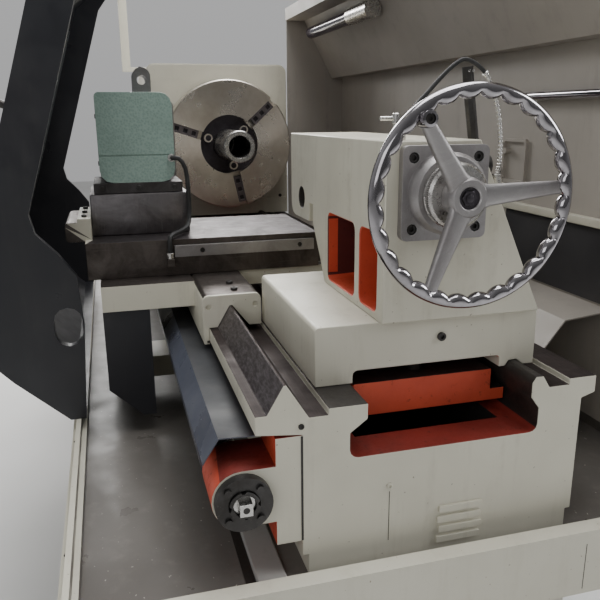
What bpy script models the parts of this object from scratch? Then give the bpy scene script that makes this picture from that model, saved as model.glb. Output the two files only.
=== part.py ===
"""Flat-bed turning lathe with numeric control, in metres, +Z up, standing on the floor.

Places are given along the lathe's own lines: X runs along the spindle, zero at the tail end of the bed
and negative toward the headstock, Y runs to the rear and Z up, both zero on the spindle's axis. The
empty "lathe" carries everything and moves those lines to the floor below the machine's middle.
"""

import math

import bmesh
import bpy
from mathutils import Matrix, Vector

# Fits
CLEAR = 0.0003
WAY_GAP = 0.0008
OVERRUN = 0.004
ROUND_STEPS = 32
SMALL_STEPS = 16
FEW_STEPS = 10
ARC_STEPS = 3
AXIS_MERGE = 0.00001

# Whole machine
SPINDLE_HEIGHT = 1.130
BED_LENGTH = 2.800
# The headstock end stands at the bed's far end, and moves with it when the bed is made longer.
HEAD_X = -BED_LENGTH


def spaced(start, place, length):
    """The span of that length that begins at the place beyond the start."""
    return (start + place, start + place + length)


SHEET = 0.003

# Bed section, heights from the spindle's axis
WAY_LEVEL = -0.315
BED_FRONT = -0.324
BED_REAR = 0.275
VEE_FRONT_FOOT = -0.306
VEE_FRONT_TOP = -0.279
VEE_REAR_TOP = -0.2745
VEE_REAR_FOOT = -0.239
VEE_LEVEL = -0.269
WAY_GROOVE = 0.011
FRONT_GROOVE_END = -0.208
LIP_FRONT = -0.143
LIP_REAR = 0.149
LIP_LEVEL = -0.341
INNER_VEE_TOP_START = 0.156
INNER_VEE_TOP_END = 0.170
INNER_VEE_FOOT = 0.183
INNER_VEE_LEVEL = -0.305
TAIL_BASE_LAND = 0.022
TAIL_BASE_HALF = INNER_VEE_FOOT + TAIL_BASE_LAND
REAR_GROOVE_END = 0.222
FLANGE_LEVEL = -0.346
COVE_LEVEL = -0.354
BODY_FRONT = -0.251
BODY_REAR = 0.249
CHANNEL_FRONT = -0.172
CHANNEL_REAR = 0.165
CHANNEL_SHOULDER = -0.362
CHANNEL_FLOOR = -0.405
CHANNEL_ROUND = 0.014
BED_BOTTOM = -0.567
FOOT_INSET = 0.010
FOOT_LEVEL = -0.604
POCKET_COUNT = 6
POCKET_LENGTH = 0.270
POCKET_RIB = 0.065
POCKET_START = 0.070
POCKET_WIDTH = 0.270

# Chip pan
PAN_TAIL = 0.062
PAN_FRONT = -0.628
PAN_REAR = 0.590
PAN_RIM_LEVEL = -0.575
PAN_RIM = 0.030
PAN_SKIRT = -0.700
PAN_SHEET = 0.004
DRAIN_RADIUS = 0.040
DRAIN_X = -1.200
DRAIN_Y = 0.420
RAIL_WIDTH = 0.010
RAIL_Y = -0.613

# Pedestals
PEDESTAL_FRONT = -0.330
PEDESTAL_REAR = 0.320
PEDESTAL_WALL = 0.020
PEDESTAL_ROUND = 0.025
TAIL_PEDESTAL = (-0.660, -0.060)
HEAD_PEDESTAL_INSET = 0.005
HEAD_PEDESTAL_LENGTH = 1.035
HEAD_PEDESTAL = spaced(HEAD_X, HEAD_PEDESTAL_INSET, HEAD_PEDESTAL_LENGTH)
PEDESTAL_FLANGE = 0.030
PEDESTAL_FLANGE_HEIGHT = 0.040
PAD_HEIGHT = 0.030
PAD_RADIUS = 0.045
PAD_STEM = 0.012
PAD_INSET = 0.020
PANEL_RECESS = 0.006
PANEL_MARGIN = 0.080

# Headstock
HEADSTOCK_INSET = 0.010
HEADSTOCK_REACH = 0.645
HEADSTOCK_FACE = HEAD_X + HEADSTOCK_REACH
HEADSTOCK_END = HEAD_X + HEADSTOCK_INSET
HEADSTOCK_FRONT = -0.320
HEADSTOCK_REAR = 0.288
HEADSTOCK_TOP = 0.333
HEADSTOCK_ROUND = 0.035
GUARD_THICKNESS = 0.004
GUARD_HOLE = 0.136
GUARD_SEAM_LEVEL = -0.243
GUARD_SEAM = 0.004
FRONT_BEARING_RADIUS = 0.115
FRONT_BEARING_PLACE = 0.500
FRONT_BEARING_LENGTH = 0.085
FRONT_BEARING = spaced(HEAD_X, FRONT_BEARING_PLACE, FRONT_BEARING_LENGTH)
REAR_BEARING_RADIUS = 0.095
REAR_BEARING_PLACE = 0.060
REAR_BEARING_LENGTH = 0.060
REAR_BEARING = spaced(HEAD_X, REAR_BEARING_PLACE, REAR_BEARING_LENGTH)
HEADSTOCK_BORE = 0.085

# Spindle and chuck
SPINDLE_BORE = 0.040
SPINDLE_OVERHANG = 0.095
SPINDLE_END = HEAD_X - SPINDLE_OVERHANG
SPINDLE_FRONT_JOURNAL = 0.080
SPINDLE_MIDDLE = 0.072
SPINDLE_REAR_JOURNAL = 0.065
SPINDLE_TAIL_RADIUS = 0.055
SPINDLE_FLANGE_RADIUS = 0.130
SPINDLE_FLANGE = 0.018
CHUCK_PLACE = 0.796
CHUCK_FACE = HEAD_X + CHUCK_PLACE
CHUCK_RADIUS = 0.264
CHUCK_THICKNESS = 0.130
CHUCK_CHAMFER = 0.004
RECESS_RADIUS = 0.1215
RECESS_DEPTH = 0.034
CHUCK_BORE = 0.064
SLEEVE_RADIUS = 0.0625
SLEEVE_BORE = 0.041
SLEEVE_REACH = 0.234
SLEEVE_TIP = CHUCK_FACE + SLEEVE_REACH
SLEEVE_LIP = 0.006
JAW_ANGLES = tuple(math.radians(a) for a in (162, 42, 282))
JAW_NECK = 0.034
JAW_FOOT = 0.052
JAW_NECK_DEPTH = 0.022
JAW_DEPTH = 0.044
JAW_SINK = 0.003
JAW_MARGIN = 0.018
JAW_LENGTH = 0.108
JAW_START = CHUCK_RADIUS - JAW_MARGIN - JAW_LENGTH
SERRATION_COUNT = 3
SERRATION_DEPTH = 0.009
SERRATION_HOLE = 0.018
BOSS_RADIUS = 0.018
BOSS_HEIGHT = 0.014
BOSS_PLACE = 0.090
BOSS_SOCKET = 0.009
TAP_RADIUS = 0.009
TAP_DEPTH = 0.015
TAP_Y = -0.134
TAP_Z = -0.1215

# Spindle drive
PULLEY_RADIUS = 0.140
MOTOR_PULLEY_RADIUS = 0.075
PULLEY_WIDTH = 0.050
PULLEY_OVERHANG = 0.075
PULLEY_START = HEAD_X - PULLEY_OVERHANG
PULLEY_GROOVE = 0.006
PULLEY_GROOVES = 3
BELT_THICKNESS = 0.008
MOTOR_LOWER = 0.013
MOTOR_DROP = (SPINDLE_HEIGHT - FOOT_LEVEL) / 2 + MOTOR_LOWER
MOTOR_RADIUS = 0.125
MOTOR_SHAFT = 0.022
MOTOR_INSET = 0.030
MOTOR_LENGTH = 0.370
MOTOR = spaced(HEAD_X, MOTOR_INSET, MOTOR_LENGTH)
MOTOR_FINS = 24
MOTOR_FIN = 0.005
MOTOR_FOOT_WIDTH = 0.240
SQUARE_SHARE = 0.5
BORE_SHARE = 0.5
BELT_COVER_DEPTH = 0.125
BELT_COVER = (HEAD_X - BELT_COVER_DEPTH, HEAD_X - CLEAR)
BELT_COVER_HALF = 0.210
BELT_COVER_TOP = 0.230
BELT_COVER_HEIGHT = 0.100
BELT_COVER_BOTTOM = BELT_COVER_HEIGHT - SPINDLE_HEIGHT
BELT_COVER_ROUND = 0.060

# Carriage
SADDLE = (-1.236, -0.468)
BRIDGE = (-1.000, -0.695)
SADDLE_TOP = -0.245
SADDLE_FRONT = -0.336
SADDLE_REAR = 0.290
SKIRT_LEVEL = -0.350
WING_GAP_FRONT = 0.007
WING_GAP_REAR = 0.011
WING_INNER_FRONT = -TAIL_BASE_HALF - WING_GAP_FRONT
WING_INNER_REAR = TAIL_BASE_HALF + WING_GAP_REAR
BRIDGE_UNDERSIDE = -0.284
EXTENSION = (-1.130, -0.605)
EXTENSION_FRONT = -0.541
EXTENSION_BOTTOM = -0.303
WING_ROUND = 0.012
WIPER_THICKNESS = 0.008
SLIDE_WAY = (-0.966, -0.729)
SLIDE_WAY_TOP = -0.215
SCREW_CHANNEL = 0.021
SCREW_CHANNEL_FLOOR = -0.247
WIPER_SCREW = 0.006

# Apron and longitudinal drive
SCREW_Y = -0.346
SCREW_Z = -0.449
Z_SCREW_RADIUS = 0.022
Z_SCREW_JOURNAL = 0.0175
Z_SCREW_TIP = 0.032
Z_SCREW_SQUARE = 0.020
Z_SCREW_SQUARE_LENGTH = 0.018
NUT_RADIUS = 0.038
NUT = (-0.930, -0.800)
NUT_WEB_HALF = 0.028
APRON = (-1.100, -0.640)
APRON_FRONT = -0.531
APRON_REAR = -0.446
APRON_ARM_TOP = -0.485
APRON_ARM_BOTTOM = -0.541
APRON_ARM_REAR = -0.308
APRON_KNEE_Y = -0.472
APRON_KNEE_Z = -0.488
COVER = (-1.125, -0.610)
COVER_FRONT = -0.541
COVER_REAR = -0.438
COVER_KNEE_Z = -0.491
COVER_FLOOR_Y = -0.466
COVER_FLOOR = -0.561
COVER_SHEET = 0.002
BRACKET_LENGTH = 0.105
BRACKET_RADIUS = 0.048
BRACKET_PLATE = -0.293
BRACKET_TOP = -0.3545
BRACKET_BOTTOM = -0.539
CAP_RADIUS = 0.045
CAP_THICKNESS = 0.016
CAP_RECESS = 0.025
CAP_RECESS_DEPTH = 0.008
CAP_SCREW_RADIUS = 0.006
CAP_SCREW_HEIGHT = 0.005
CAP_SCREW_CIRCLE = 0.035
CAP_SCREWS = 4
MOTOR_BRACKET_PLACE = 0.550
MOTOR_BRACKET_LENGTH = 0.130
MOTOR_BRACKET = spaced(HEAD_X, MOTOR_BRACKET_PLACE, MOTOR_BRACKET_LENGTH)
PLUG_LENGTH = 0.060
Z_SERVO_LENGTH = 0.240
SERVO_HALF = 0.065
SERVO_NECK_HALF = 0.052
SERVO_PLATE = 0.014
SERVO_BACK = 0.050
SERVO_ROUND = 0.012
SCREW_COVER_SHEET = 0.002
SCREW_COVER_BACK = 0.035
SCREW_COVER_TOP_REAR = -0.364
SCREW_COVER_KNEE_Y = -0.375
SCREW_COVER_KNEE_Z = -0.359
SCREW_COVER_NOSE_Y = -0.401
SCREW_COVER_NOSE_Z = -0.399
SCREW_COVER_FOOT_Y = -0.393
SCREW_COVER_FOOT_Z = -0.455

# Cross slide
SLIDE = (-1.015, -0.680)
SLIDE_FRONT = -0.568
SLIDE_REAR = -0.015
SLIDE_TOP = -0.160
SLIDE_SKIRT = -0.2445
GIB_THICKNESS = 0.011
GIB = (-0.369, -0.030)
GIB_LEVELS = (-0.200, -0.173)
GIB_SCREWS = (-0.304, -0.066)
GIB_SCREW_RADIUS = 0.006
FRONT_BLOCK = (-0.583, -0.553)
FRONT_BLOCK_TOP = -0.110
FRONT_CAP_Y = -0.612
FRONT_CAP_TOP = -0.118
FRONT_CAP_ROUND = 0.010
FRONT_CAP_X = (-0.960, -0.735)
HOSE_PORT_Y = (-0.388, -0.371)
HOSE_PORT_TOP = -0.203
HOSE_PORT_HEIGHT = 0.018
HOSE_PORT_DEPTH = 0.018
X_SCREW_X = -0.848
X_SCREW_Z = -0.230
X_SCREW_RADIUS = 0.0125
X_SCREW_FRONT = -0.510
X_SCREW_JOURNAL = 0.008
X_SCREW_JOURNAL_LENGTH = 0.022
X_SCREW_REAR = 0.285
X_NUT = (-0.330, -0.270)
X_NUT_HALF = 0.0175
X_NUT_HEIGHT = 0.0135
X_SERVO_LENGTH = 0.165

# Tool turret
RISER = (-0.995, -0.780)
RISER_FRONT = -0.552
RISER_REAR = -0.318
RISER_TOP = -0.060
TURRET = (-0.995, -0.785)
TURRET_FRONT = -0.524
TURRET_REAR = -0.347
TURRET_BASE_TOP = -0.035
TURRET_BASE_FRONT = -0.541
TURRET_BASE_REAR = -0.331
TURRET_TOP = 0.174
TURRET_ROUND = 0.028
TURRET_SMALL_ROUND = 0.010
TURRET_FOOT_ROUND = 0.030
TURRET_SEAM_LEVEL = 0.029
TURRET_SEAM = 0.003
TURRET_EDGE = 0.004
HEAD_Y = -0.424
HEAD_Z = 0.057
HEAD_HALF = 0.100
HEAD_LENGTH = 0.104
HEAD_GAP = 0.0035
HEAD_CORNER = 0.010
HEAD_SPIGOT = 0.060
TOOL_SLOT_DEPTH = 0.026
TOOL_SLOT = (0.034, 0.068)
HOLDER_Y = -0.401
HOLDER_HALF = 0.023
HOLDER_TOP = 0.244
HOLDER_START = 0.012
HOLDER_LENGTH = 0.080
HOLDER_BORE = 0.0125
HOLDER_BORE_LEVEL = 0.212
HOSE_RADIUS = 0.0055
HOSE_ROUTE = (
    (-0.7847, -0.3545, 0.0218),
    (-0.7740, -0.3530, 0.0215),
    (-0.7695, -0.3370, 0.0190),
    (-0.7690, -0.3230, -0.0080),
    (-0.7685, -0.3200, -0.0600),
    (-0.7670, -0.3200, -0.1080),
    (-0.7520, -0.3260, -0.1370),
    (-0.7280, -0.3430, -0.1465),
    (-0.7000, -0.3600, -0.1480),
    (-0.6760, -0.3770, -0.1520),
    (-0.6690, -0.3795, -0.1680),
    (-0.6705, -0.3795, -0.1880),
    (-0.6710, -0.3795, -0.2027),
)
HOSE_POINTS = 26

# Tailstock
TAIL_BASE = (-0.480, -0.083)
TAIL_BASE_TOP = -0.212
TAIL_CUT_FRONT = -0.139
TAIL_CUT_REAR = 0.136
TAIL_CUT_LEVEL = -0.293
TAIL_BASE_ROUND = 0.008
TAIL_FACE = -0.069
TAIL_NOSE = -0.635
TAIL_LEFT = -0.095
TAIL_TOP = 0.080
TAIL_TOP_RIGHT = 0.067
TAIL_SHOULDER_Y = 0.083
TAIL_SHOULDER_Z = 0.038
TAIL_HIP_Y = 0.157
TAIL_HIP_Z = -0.123
TAIL_FOOT_REAR = 0.200
TAIL_BARREL_LEVEL = -0.063
NOSE_START = -0.490
NOSE_LEVEL = -0.103
NOSE_ROUND = 0.030
NOSE_HEEL = -0.462
NOSE_NECK = -0.474
NOSE_REAR = 0.097
PEDESTAL_FRONT_KNEE_X = -0.408
PEDESTAL_FRONT_KNEE_Z = -0.171
PEDESTAL_FRONT_FOOT_X = -0.380
WINDOWS = ((-0.357, -0.204), (-0.179, -0.097))
WINDOW_BOTTOM = -0.199
WINDOW_TOP = -0.066
WINDOW_ROUND = 0.014
WINDOW_REAR = 0.090
NOSE_HOLE_X = -0.547
NOSE_HOLE_Z = -0.057
NOSE_HOLE_RADIUS = 0.023
NOSE_HOLE_DEPTH = 0.034
TAIL_EDGE = 0.004
QUILL_RADIUS = 0.044
QUILL = (-0.665, -0.120)
QUILL_SOCKET = 0.0155
QUILL_SCREW_BORE = 0.0155
QUILL_SCREW_DEPTH = 0.330
CENTRE_RADIUS = 0.030
CENTRE_SHANK = 0.0150
CENTRE_SHANK_LENGTH = 0.090
CENTRE_BODY = 0.046
CENTRE_TIP = 0.050
FLANGE_HALF = 0.0735
FLANGE_THICKNESS = 0.015
FLANGE_ROUND = 0.010
FLANGE_BOLT = 0.055
FLANGE_BOLT_HOLE = 0.0085
FLANGE_BOLT_DEPTH = 0.008
BOSS_OUTER = 0.064
BOSS_LENGTH = 0.016
BOSS_CONE = 0.008
BOSS_CONE_RADIUS = 0.058
TAIL_SCREW_RADIUS = 0.015
TAIL_SCREW_START = -0.395
SCREW_END_SHARE = 0.6
COLLAR_RADIUS = 0.050
COLLAR_LENGTH = 0.021
COLLAR_CHAMFER = 0.004
HUB_RADIUS = 0.031
HUB_LENGTH = 0.033
HUB_RECESS = 0.0165
HUB_RECESS_DEPTH = 0.012
WHEEL_RADIUS = 0.1525
WHEEL_RIM = 0.0105
WHEEL_PLANE = 0.033
WHEEL_SCALLOPS = 36
WHEEL_SCALLOP = 0.003
SPOKE_ANGLES = tuple(math.radians(a) for a in (5, 125, 245))
SPOKE_HUB_HALF = 0.016
SPOKE_RIM_HALF = 0.010
SPOKE = (0.010, 0.026)
SPOKE_START = 0.024
GRIP_BOSS_RADIUS = 0.013
GRIP_BOSS = (0.022, 0.047)
GRIP_BOSS_INSET = 0.014
GRIP_HOLE = 0.005
GRIP_HOLE_DEPTH = 0.014
LEVER_X = -0.130
LEVER_OUT = 0.0215
LEVER_DROP = 0.003
LEVER_Y = TAIL_SHOULDER_Y + LEVER_OUT
LEVER_Z = TAIL_SHOULDER_Z - LEVER_DROP
LEVER_RADIUS = 0.0095
LEVER_HUB_RADIUS = 0.018
LEVER_HUB_HALF = 0.011
LEVER_BENDS = ((0, 0), (0, 0.018), (-0.0185, 0.0430), (-0.0300, 0.1120), (-0.0365, 0.1580))
LEVER_BOSS_RADIUS = 0.016
CONDUIT_RADIUS = 0.0040
CONDUIT_SOCKET = (-0.032, 0.0077)
CONDUIT_SOCKET_RADIUS = 0.010
CONDUIT_ROUTE = (
    (-0.100, -0.0600, 0.0805),
    (-0.100, -0.0598, 0.0900),
    (-0.100, -0.0560, 0.1040),
    (-0.101, -0.040, 0.1260),
    (-0.102, -0.012, 0.1540),
    (-0.103, 0.010, 0.1760),
    (-0.104, 0.034, 0.1960),
    (-0.104, 0.052, 0.2020),
    (-0.104, 0.072, 0.1940),
    (-0.104, 0.091, 0.1720),
    (-0.104, 0.112, 0.1380),
    (-0.104, 0.129, 0.1000),
    (-0.104, 0.133, 0.0600),
    (-0.104, 0.124, 0.0320),
    (-0.104, 0.1202, 0.0180),
    (-0.104, 0.120, 0.0080),
)
CONDUIT_POINTS = 30
CLAMP_PLATE = (-0.400, -0.100)
CLAMP_GUIDE_HALF = 0.132
CLAMP_GUIDE_TOP = -0.324
CLAMP_PLATE_HALF = 0.160
CLAMP_PLATE_THICKNESS = 0.022
CLAMP_STEM_HALF = 0.045
CLAMP_BOLT_RADIUS = 0.013

# Rear guard
GUARD_PLACE = 0.650
GUARD_OVERHANG = 0.060
GUARD = (HEAD_X + GUARD_PLACE, GUARD_OVERHANG)
WALL_Y = 0.550
WALL_FOOT = 0.580
HOOD_EDGE_Y = 0.500
HOOD_EDGE_Z = 0.280
HOOD_KNEE_Y = 0.374
HOOD_KNEE_Z = 0.517
HOOD_LIP_Y = 0.291
HOOD_TOP = 0.560
HATCH_X = (-0.775, -0.666)
HATCH_Z = (-0.062, 0.054)
HATCH_RIM = 0.008
HATCH_DEPTH = 0.008
HATCH_KNOB = 0.008
DEFLECTOR_WALL_Z = -0.306
DEFLECTOR_Y = 0.432
DEFLECTOR_Z = -0.318
DEFLECTOR_FOOT_Y = 0.367
DEFLECTOR_FOOT_Z = -0.400
DEFLECTOR_END = -0.300
LAMP_PLACE = 0.780
LAMP_LENGTH = 0.500
LAMP = spaced(HEAD_X, LAMP_PLACE, LAMP_LENGTH)
LAMP_SOCKET = 0.200
LAMP_RADIUS = 0.024
LAMP_SOCKET_RADIUS = 0.030
LAMP_DROP = 0.036
LAMP_SHARE = 0.20
LAMP_BRACKET_HALF = 0.010
PIPE_Y = 0.529
PIPE_Z = 0.160
PIPE_RADIUS = 0.010
PIPE = (-0.690, 0.030)
PIPE_CLIPS = (-0.600, -0.100)
PIPE_CLIP_HALF = 0.008

# Sliding door
DOOR = (-2.000, -0.600)
DOOR_FOOT_Z = -0.548
DOOR_SKIN = (
    (-0.596, -0.548),
    (-0.630, -0.548),
    (-0.740, -0.446),
    (-0.812, -0.365),
    (-0.831, -0.291),
    (-0.580, 0.510),
    (-0.430, 0.640),
    (-0.430, 0.695),
)
DOOR_INNER = (
    (-0.4223, 0.695),
    (-0.4223, 0.640),
    (-0.455, 0.560),
    (-0.492, 0.510),
    (-0.673, -0.078),
    (-0.664, -0.120),
    (-0.622, -0.166),
    (-0.588, -0.215),
    (-0.582, -0.330),
)
DOOR_RIB = 0.022
ROUND_SHARE = 0.98
DOOR_SLOT_Y = -0.615
DOOR_SLOT_HALF = 0.030
DOOR_SLOT_Z = (-0.372, -0.284)
DOOR_WINDOW_X = (-1.860, -0.740)
DOOR_WINDOW_Z = (-0.060, 0.400)
PANE_THICKNESS = 0.006
PANE_LAP = 0.020

# Canopy frame that carries the door's upper edge
FRAME_TUBE = 0.040
FRAME_RAIL_FRONT = -0.422
FRAME_RAIL_BOTTOM = 0.680
FRAME_INSET = 0.020
FRAME_HEAD = HEAD_X + FRAME_INSET
FRAME_TAIL = 0.040
FRAME_POST_FRONT = -0.395
FRAME_FOOT_REAR = -0.220
FRAME_LEG_REAR = 0.420

# Controls, cabinet and coolant
CONTROL_INSET = 0.040
CONTROL_LENGTH = 0.420
CONTROL_BOX = spaced(HEAD_X, CONTROL_INSET, CONTROL_LENGTH)
CONTROL_FRONT = -0.500
CONTROL_LEVELS = (-0.120, 0.205)
CONTROL_ROUND = 0.012
SCREEN_INSET = 0.020
SCREEN_LENGTH = 0.180
SCREEN_X = spaced(CONTROL_BOX[0], SCREEN_INSET, SCREEN_LENGTH)
SCREEN_Z = (0.040, 0.180)
PANEL_SINK = 0.003
STOP_PLACE = 0.360
STOP_X = CONTROL_BOX[0] + STOP_PLACE
STOP_RADIUS = 0.020
STOP_STEM = 0.008
STOP_COLLAR_RADIUS = 0.027
STOP_COLLAR = 0.008
STOP_Z = -0.040
STOP_TRAVEL = 0.006
STOP_HEIGHT = 0.012
CABINET_INSET = 0.020
CABINET_LENGTH = 0.820
CABINET = spaced(HEAD_X, CABINET_INSET, CABINET_LENGTH)
CABINET_DEPTH = 0.300
CABINET_TOP = 0.340
CABINET_PLINTH = 0.060
CABINET_DOOR_RECESS = 0.004
CABINET_ROUND = 0.006
TANK_GAP = 0.120
TANK = (HEAD_PEDESTAL[1] + TANK_GAP, TAIL_PEDESTAL[0] - TANK_GAP)
TANK_FRONT = -0.420
TANK_REAR = 0.500
TANK_HEIGHT = 0.270
TANK_TOP = TANK_HEIGHT - SPINDLE_HEIGHT
TANK_LID = 0.006
TANK_LID_LAP = 0.012
TANK_SKID = 0.030
PUMP_X = -0.900
PUMP_Y = 0.400
PUMP_RADIUS = 0.060
PUMP_HEIGHT = 0.400
PUMP_TOP = PUMP_HEIGHT - SPINDLE_HEIGHT
PUMP_PLATE = 0.085
PUMP_PLATE_HEIGHT = 0.010


def clear_scene():
    for obj in list(bpy.data.objects):
        bpy.data.objects.remove(obj)


def new_collection(name):
    collection = bpy.data.collections.new(name)
    bpy.context.scene.collection.children.link(collection)
    return collection


def finish(name, colour, roughness, metallic=0.0):
    material = bpy.data.materials.new(name)
    material.use_nodes = True
    shader = material.node_tree.nodes["Principled BSDF"]
    shader.inputs["Base Color"].default_value = (*colour, 1.0)
    shader.inputs["Roughness"].default_value = roughness
    shader.inputs["Metallic"].default_value = metallic
    return material


clear_scene()
MACHINE = new_collection("cnc_turning_lathe")
CUTTERS = new_collection("cutters")

CREAM = finish("cream_paint", (0.72, 0.69, 0.58), 0.45)
ORANGE = finish("orange_primer", (0.80, 0.16, 0.04), 0.50)
GREY_SHEET = finish("grey_sheet", (0.50, 0.49, 0.46), 0.45)
DARK_SHEET = finish("dark_sheet", (0.05, 0.05, 0.06), 0.40)
GREEN = finish("green_hammertone", (0.13, 0.30, 0.24), 0.40)
STEEL = finish("ground_steel", (0.42, 0.40, 0.38), 0.32, 1.0)
DARK_STEEL = finish("dark_steel", (0.12, 0.12, 0.12), 0.42, 1.0)
CHROME = finish("chrome", (0.70, 0.70, 0.70), 0.10, 1.0)
RUBBER = finish("black_rubber", (0.02, 0.02, 0.02), 0.60)
GLASS = finish("window_pane", (0.60, 0.65, 0.65), 0.05)
RED = finish("stop_red", (0.60, 0.02, 0.02), 0.35)
MOTOR_BLACK = finish("motor_black", (0.03, 0.03, 0.03), 0.50)


def empty(name, place, parent=None):
    obj = bpy.data.objects.new(name, None)
    obj.location = place
    obj.parent = parent
    MACHINE.objects.link(obj)
    return obj


def fillet(points, steps=ARC_STEPS):
    """Turns corners given as (u, v, radius) into arcs. Corners given as (u, v) stay sharp."""
    outline = []
    count = len(points)
    for index, point in enumerate(points):
        here = Vector(point[:2])
        radius = point[2] if len(point) > 2 else 0
        if radius == 0:
            outline.append(tuple(here))
            continue
        before = (Vector(points[index - 1][:2]) - here).normalized()
        after = (Vector(points[(index + 1) % count][:2]) - here).normalized()
        half = before.angle(after) / 2
        centre = here + (before + after).normalized() * (radius / math.sin(half))
        start = here + before * (radius / math.tan(half)) - centre
        sweep = math.pi - 2 * half
        if before.x * after.y - before.y * after.x > 0:
            sweep = -sweep
        for step in range(steps + 1):
            turn = Matrix.Rotation(sweep * step / steps, 2)
            outline.append(tuple(centre + turn @ start))
    return outline


def rounded_box(u, v, radius):
    return fillet([(u[0], v[0], radius), (u[1], v[0], radius), (u[1], v[1], radius), (u[0], v[1], radius)])


def circle(u, v, radius, steps=SMALL_STEPS):
    angles = (2 * math.pi * step / steps for step in range(steps))
    return [(u + radius * math.cos(angle), v + radius * math.sin(angle)) for angle in angles]


def frame_along(axis):
    """Turns a drawing's own right, up and depth onto the lathe's lines, for a depth along the axis."""
    columns = {
        "X": ((0, 1, 0), (0, 0, 1), (1, 0, 0)),
        "Y": ((1, 0, 0), (0, 0, 1), (0, -1, 0)),
        "Z": ((1, 0, 0), (0, 1, 0), (0, 0, 1)),
    }[axis]
    return Matrix(columns).transposed().to_4x4()


def mesh_of(guide):
    """The mesh of a curve object, with its caps welded, in the curve's own place."""
    CUTTERS.objects.link(guide)
    bpy.context.view_layer.update()
    graph = bpy.context.evaluated_depsgraph_get()
    mesh = bpy.data.meshes.new_from_object(guide.evaluated_get(graph))
    mesh.transform(guide.matrix_world)
    bpy.data.objects.remove(guide)
    body = bmesh.new()
    body.from_mesh(mesh)
    bmesh.ops.remove_doubles(body, verts=body.verts, dist=AXIS_MERGE)
    bmesh.ops.recalc_face_normals(body, faces=body.faces)
    body.to_mesh(mesh)
    body.free()
    return mesh


def extruded(axis, span, *loops):
    """A flat outline, with any further loops as holes, drawn across the axis and extruded over the span."""
    curve = bpy.data.curves.new("outline", "CURVE")
    curve.dimensions = "2D"
    curve.fill_mode = "BOTH"
    curve.extrude = (span[1] - span[0]) / 2
    for loop in loops:
        spline = curve.splines.new("POLY")
        spline.points.add(len(loop) - 1)
        for point, (u, v) in zip(spline.points, loop):
            point.co = (u, v, 0, 1)
        spline.use_cyclic_u = True
    guide = bpy.data.objects.new("outline", curve)
    middle = (span[0] + span[1]) / 2
    shift = {"X": (middle, 0, 0), "Y": (0, middle, 0), "Z": (0, 0, middle)}[axis]
    guide.matrix_world = Matrix.Translation(shift) @ frame_along(axis)
    return mesh_of(guide)


def block(x, y, z):
    """A box between two places along each of the lathe's lines."""
    body = bmesh.new()
    bmesh.ops.create_cube(body, size=1)
    size = Matrix.Diagonal((x[1] - x[0], y[1] - y[0], z[1] - z[0], 1))
    middle = Matrix.Translation(((x[0] + x[1]) / 2, (y[0] + y[1]) / 2, (z[0] + z[1]) / 2))
    body.transform(middle @ size)
    mesh = bpy.data.meshes.new("block")
    body.to_mesh(mesh)
    body.free()
    return mesh


def rod(axis, centre, radius, span, steps=SMALL_STEPS, far_radius=None):
    """A cylinder or cone along the axis, through the centre's two other places."""
    body = bmesh.new()
    far = radius if far_radius is None else far_radius
    bmesh.ops.create_cone(
        body, cap_ends=True, segments=steps, radius1=radius, radius2=far, depth=span[1] - span[0]
    )
    middle = (span[0] + span[1]) / 2
    place = {
        "X": (middle, centre[0], centre[1]),
        "Y": (centre[0], middle, centre[1]),
        "Z": (centre[0], centre[1], middle),
    }[axis]
    turn = {
        "X": Matrix.Rotation(math.pi / 2, 4, "Y"),
        "Y": Matrix.Rotation(-math.pi / 2, 4, "X"),
        "Z": Matrix.Identity(4),
    }[axis]
    body.transform(Matrix.Translation(place) @ turn)
    mesh = bpy.data.meshes.new("rod")
    body.to_mesh(mesh)
    body.free()
    return mesh


def turned(profile, place=(0, 0, 0), steps=ROUND_STEPS, closed=True):
    """A profile of (radius, X) turned round a line along X through the place.

    It runs down the outer side from the tail end, and back up the bore where it is closed.
    """
    body = bmesh.new()
    points = [body.verts.new((radius, 0, along)) for radius, along in profile]
    pairs = list(zip(points, points[1:]))
    if closed:
        pairs.append((points[-1], points[0]))
    for first, second in pairs:
        body.edges.new((first, second))
    mesh = bpy.data.meshes.new("profile")
    body.to_mesh(mesh)
    body.free()
    guide = bpy.data.objects.new("profile", mesh)
    screw = guide.modifiers.new("turn", "SCREW")
    screw.axis = "Z"
    screw.steps = steps
    screw.render_steps = steps
    screw.use_merge_vertices = True
    screw.merge_threshold = AXIS_MERGE
    guide.matrix_world = Matrix.Translation(place) @ Matrix.Rotation(math.pi / 2, 4, "Y")
    return mesh_of(guide)


def smooth_route(points, count):
    """A number of places along a Catmull-Rom curve through the route's points."""
    knots = [Vector(point) for point in points]
    knots = [2 * knots[0] - knots[1], *knots, 2 * knots[-1] - knots[-2]]
    spans = len(knots) - 3
    places = []
    for step in range(count):
        along = step / (count - 1) * spans
        index = min(int(along), spans - 1)
        t = along - index
        a, b, c, d = knots[index : index + 4]
        places.append(
            ((2 * b) + (c - a) * t + (2 * a - 5 * b + 4 * c - d) * t**2 + (3 * b - a - 3 * c + d) * t**3) / 2
        )
    return places


def piped(places, radius, closed=False, resolution=2):
    curve = bpy.data.curves.new("route", "CURVE")
    curve.dimensions = "3D"
    curve.bevel_depth = radius
    curve.bevel_resolution = resolution
    curve.use_fill_caps = True
    spline = curve.splines.new("POLY")
    spline.points.add(len(places) - 1)
    for point, place in zip(spline.points, places):
        point.co = (*place, 1)
    spline.use_cyclic_u = closed
    return mesh_of(bpy.data.objects.new("route", curve))


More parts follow.
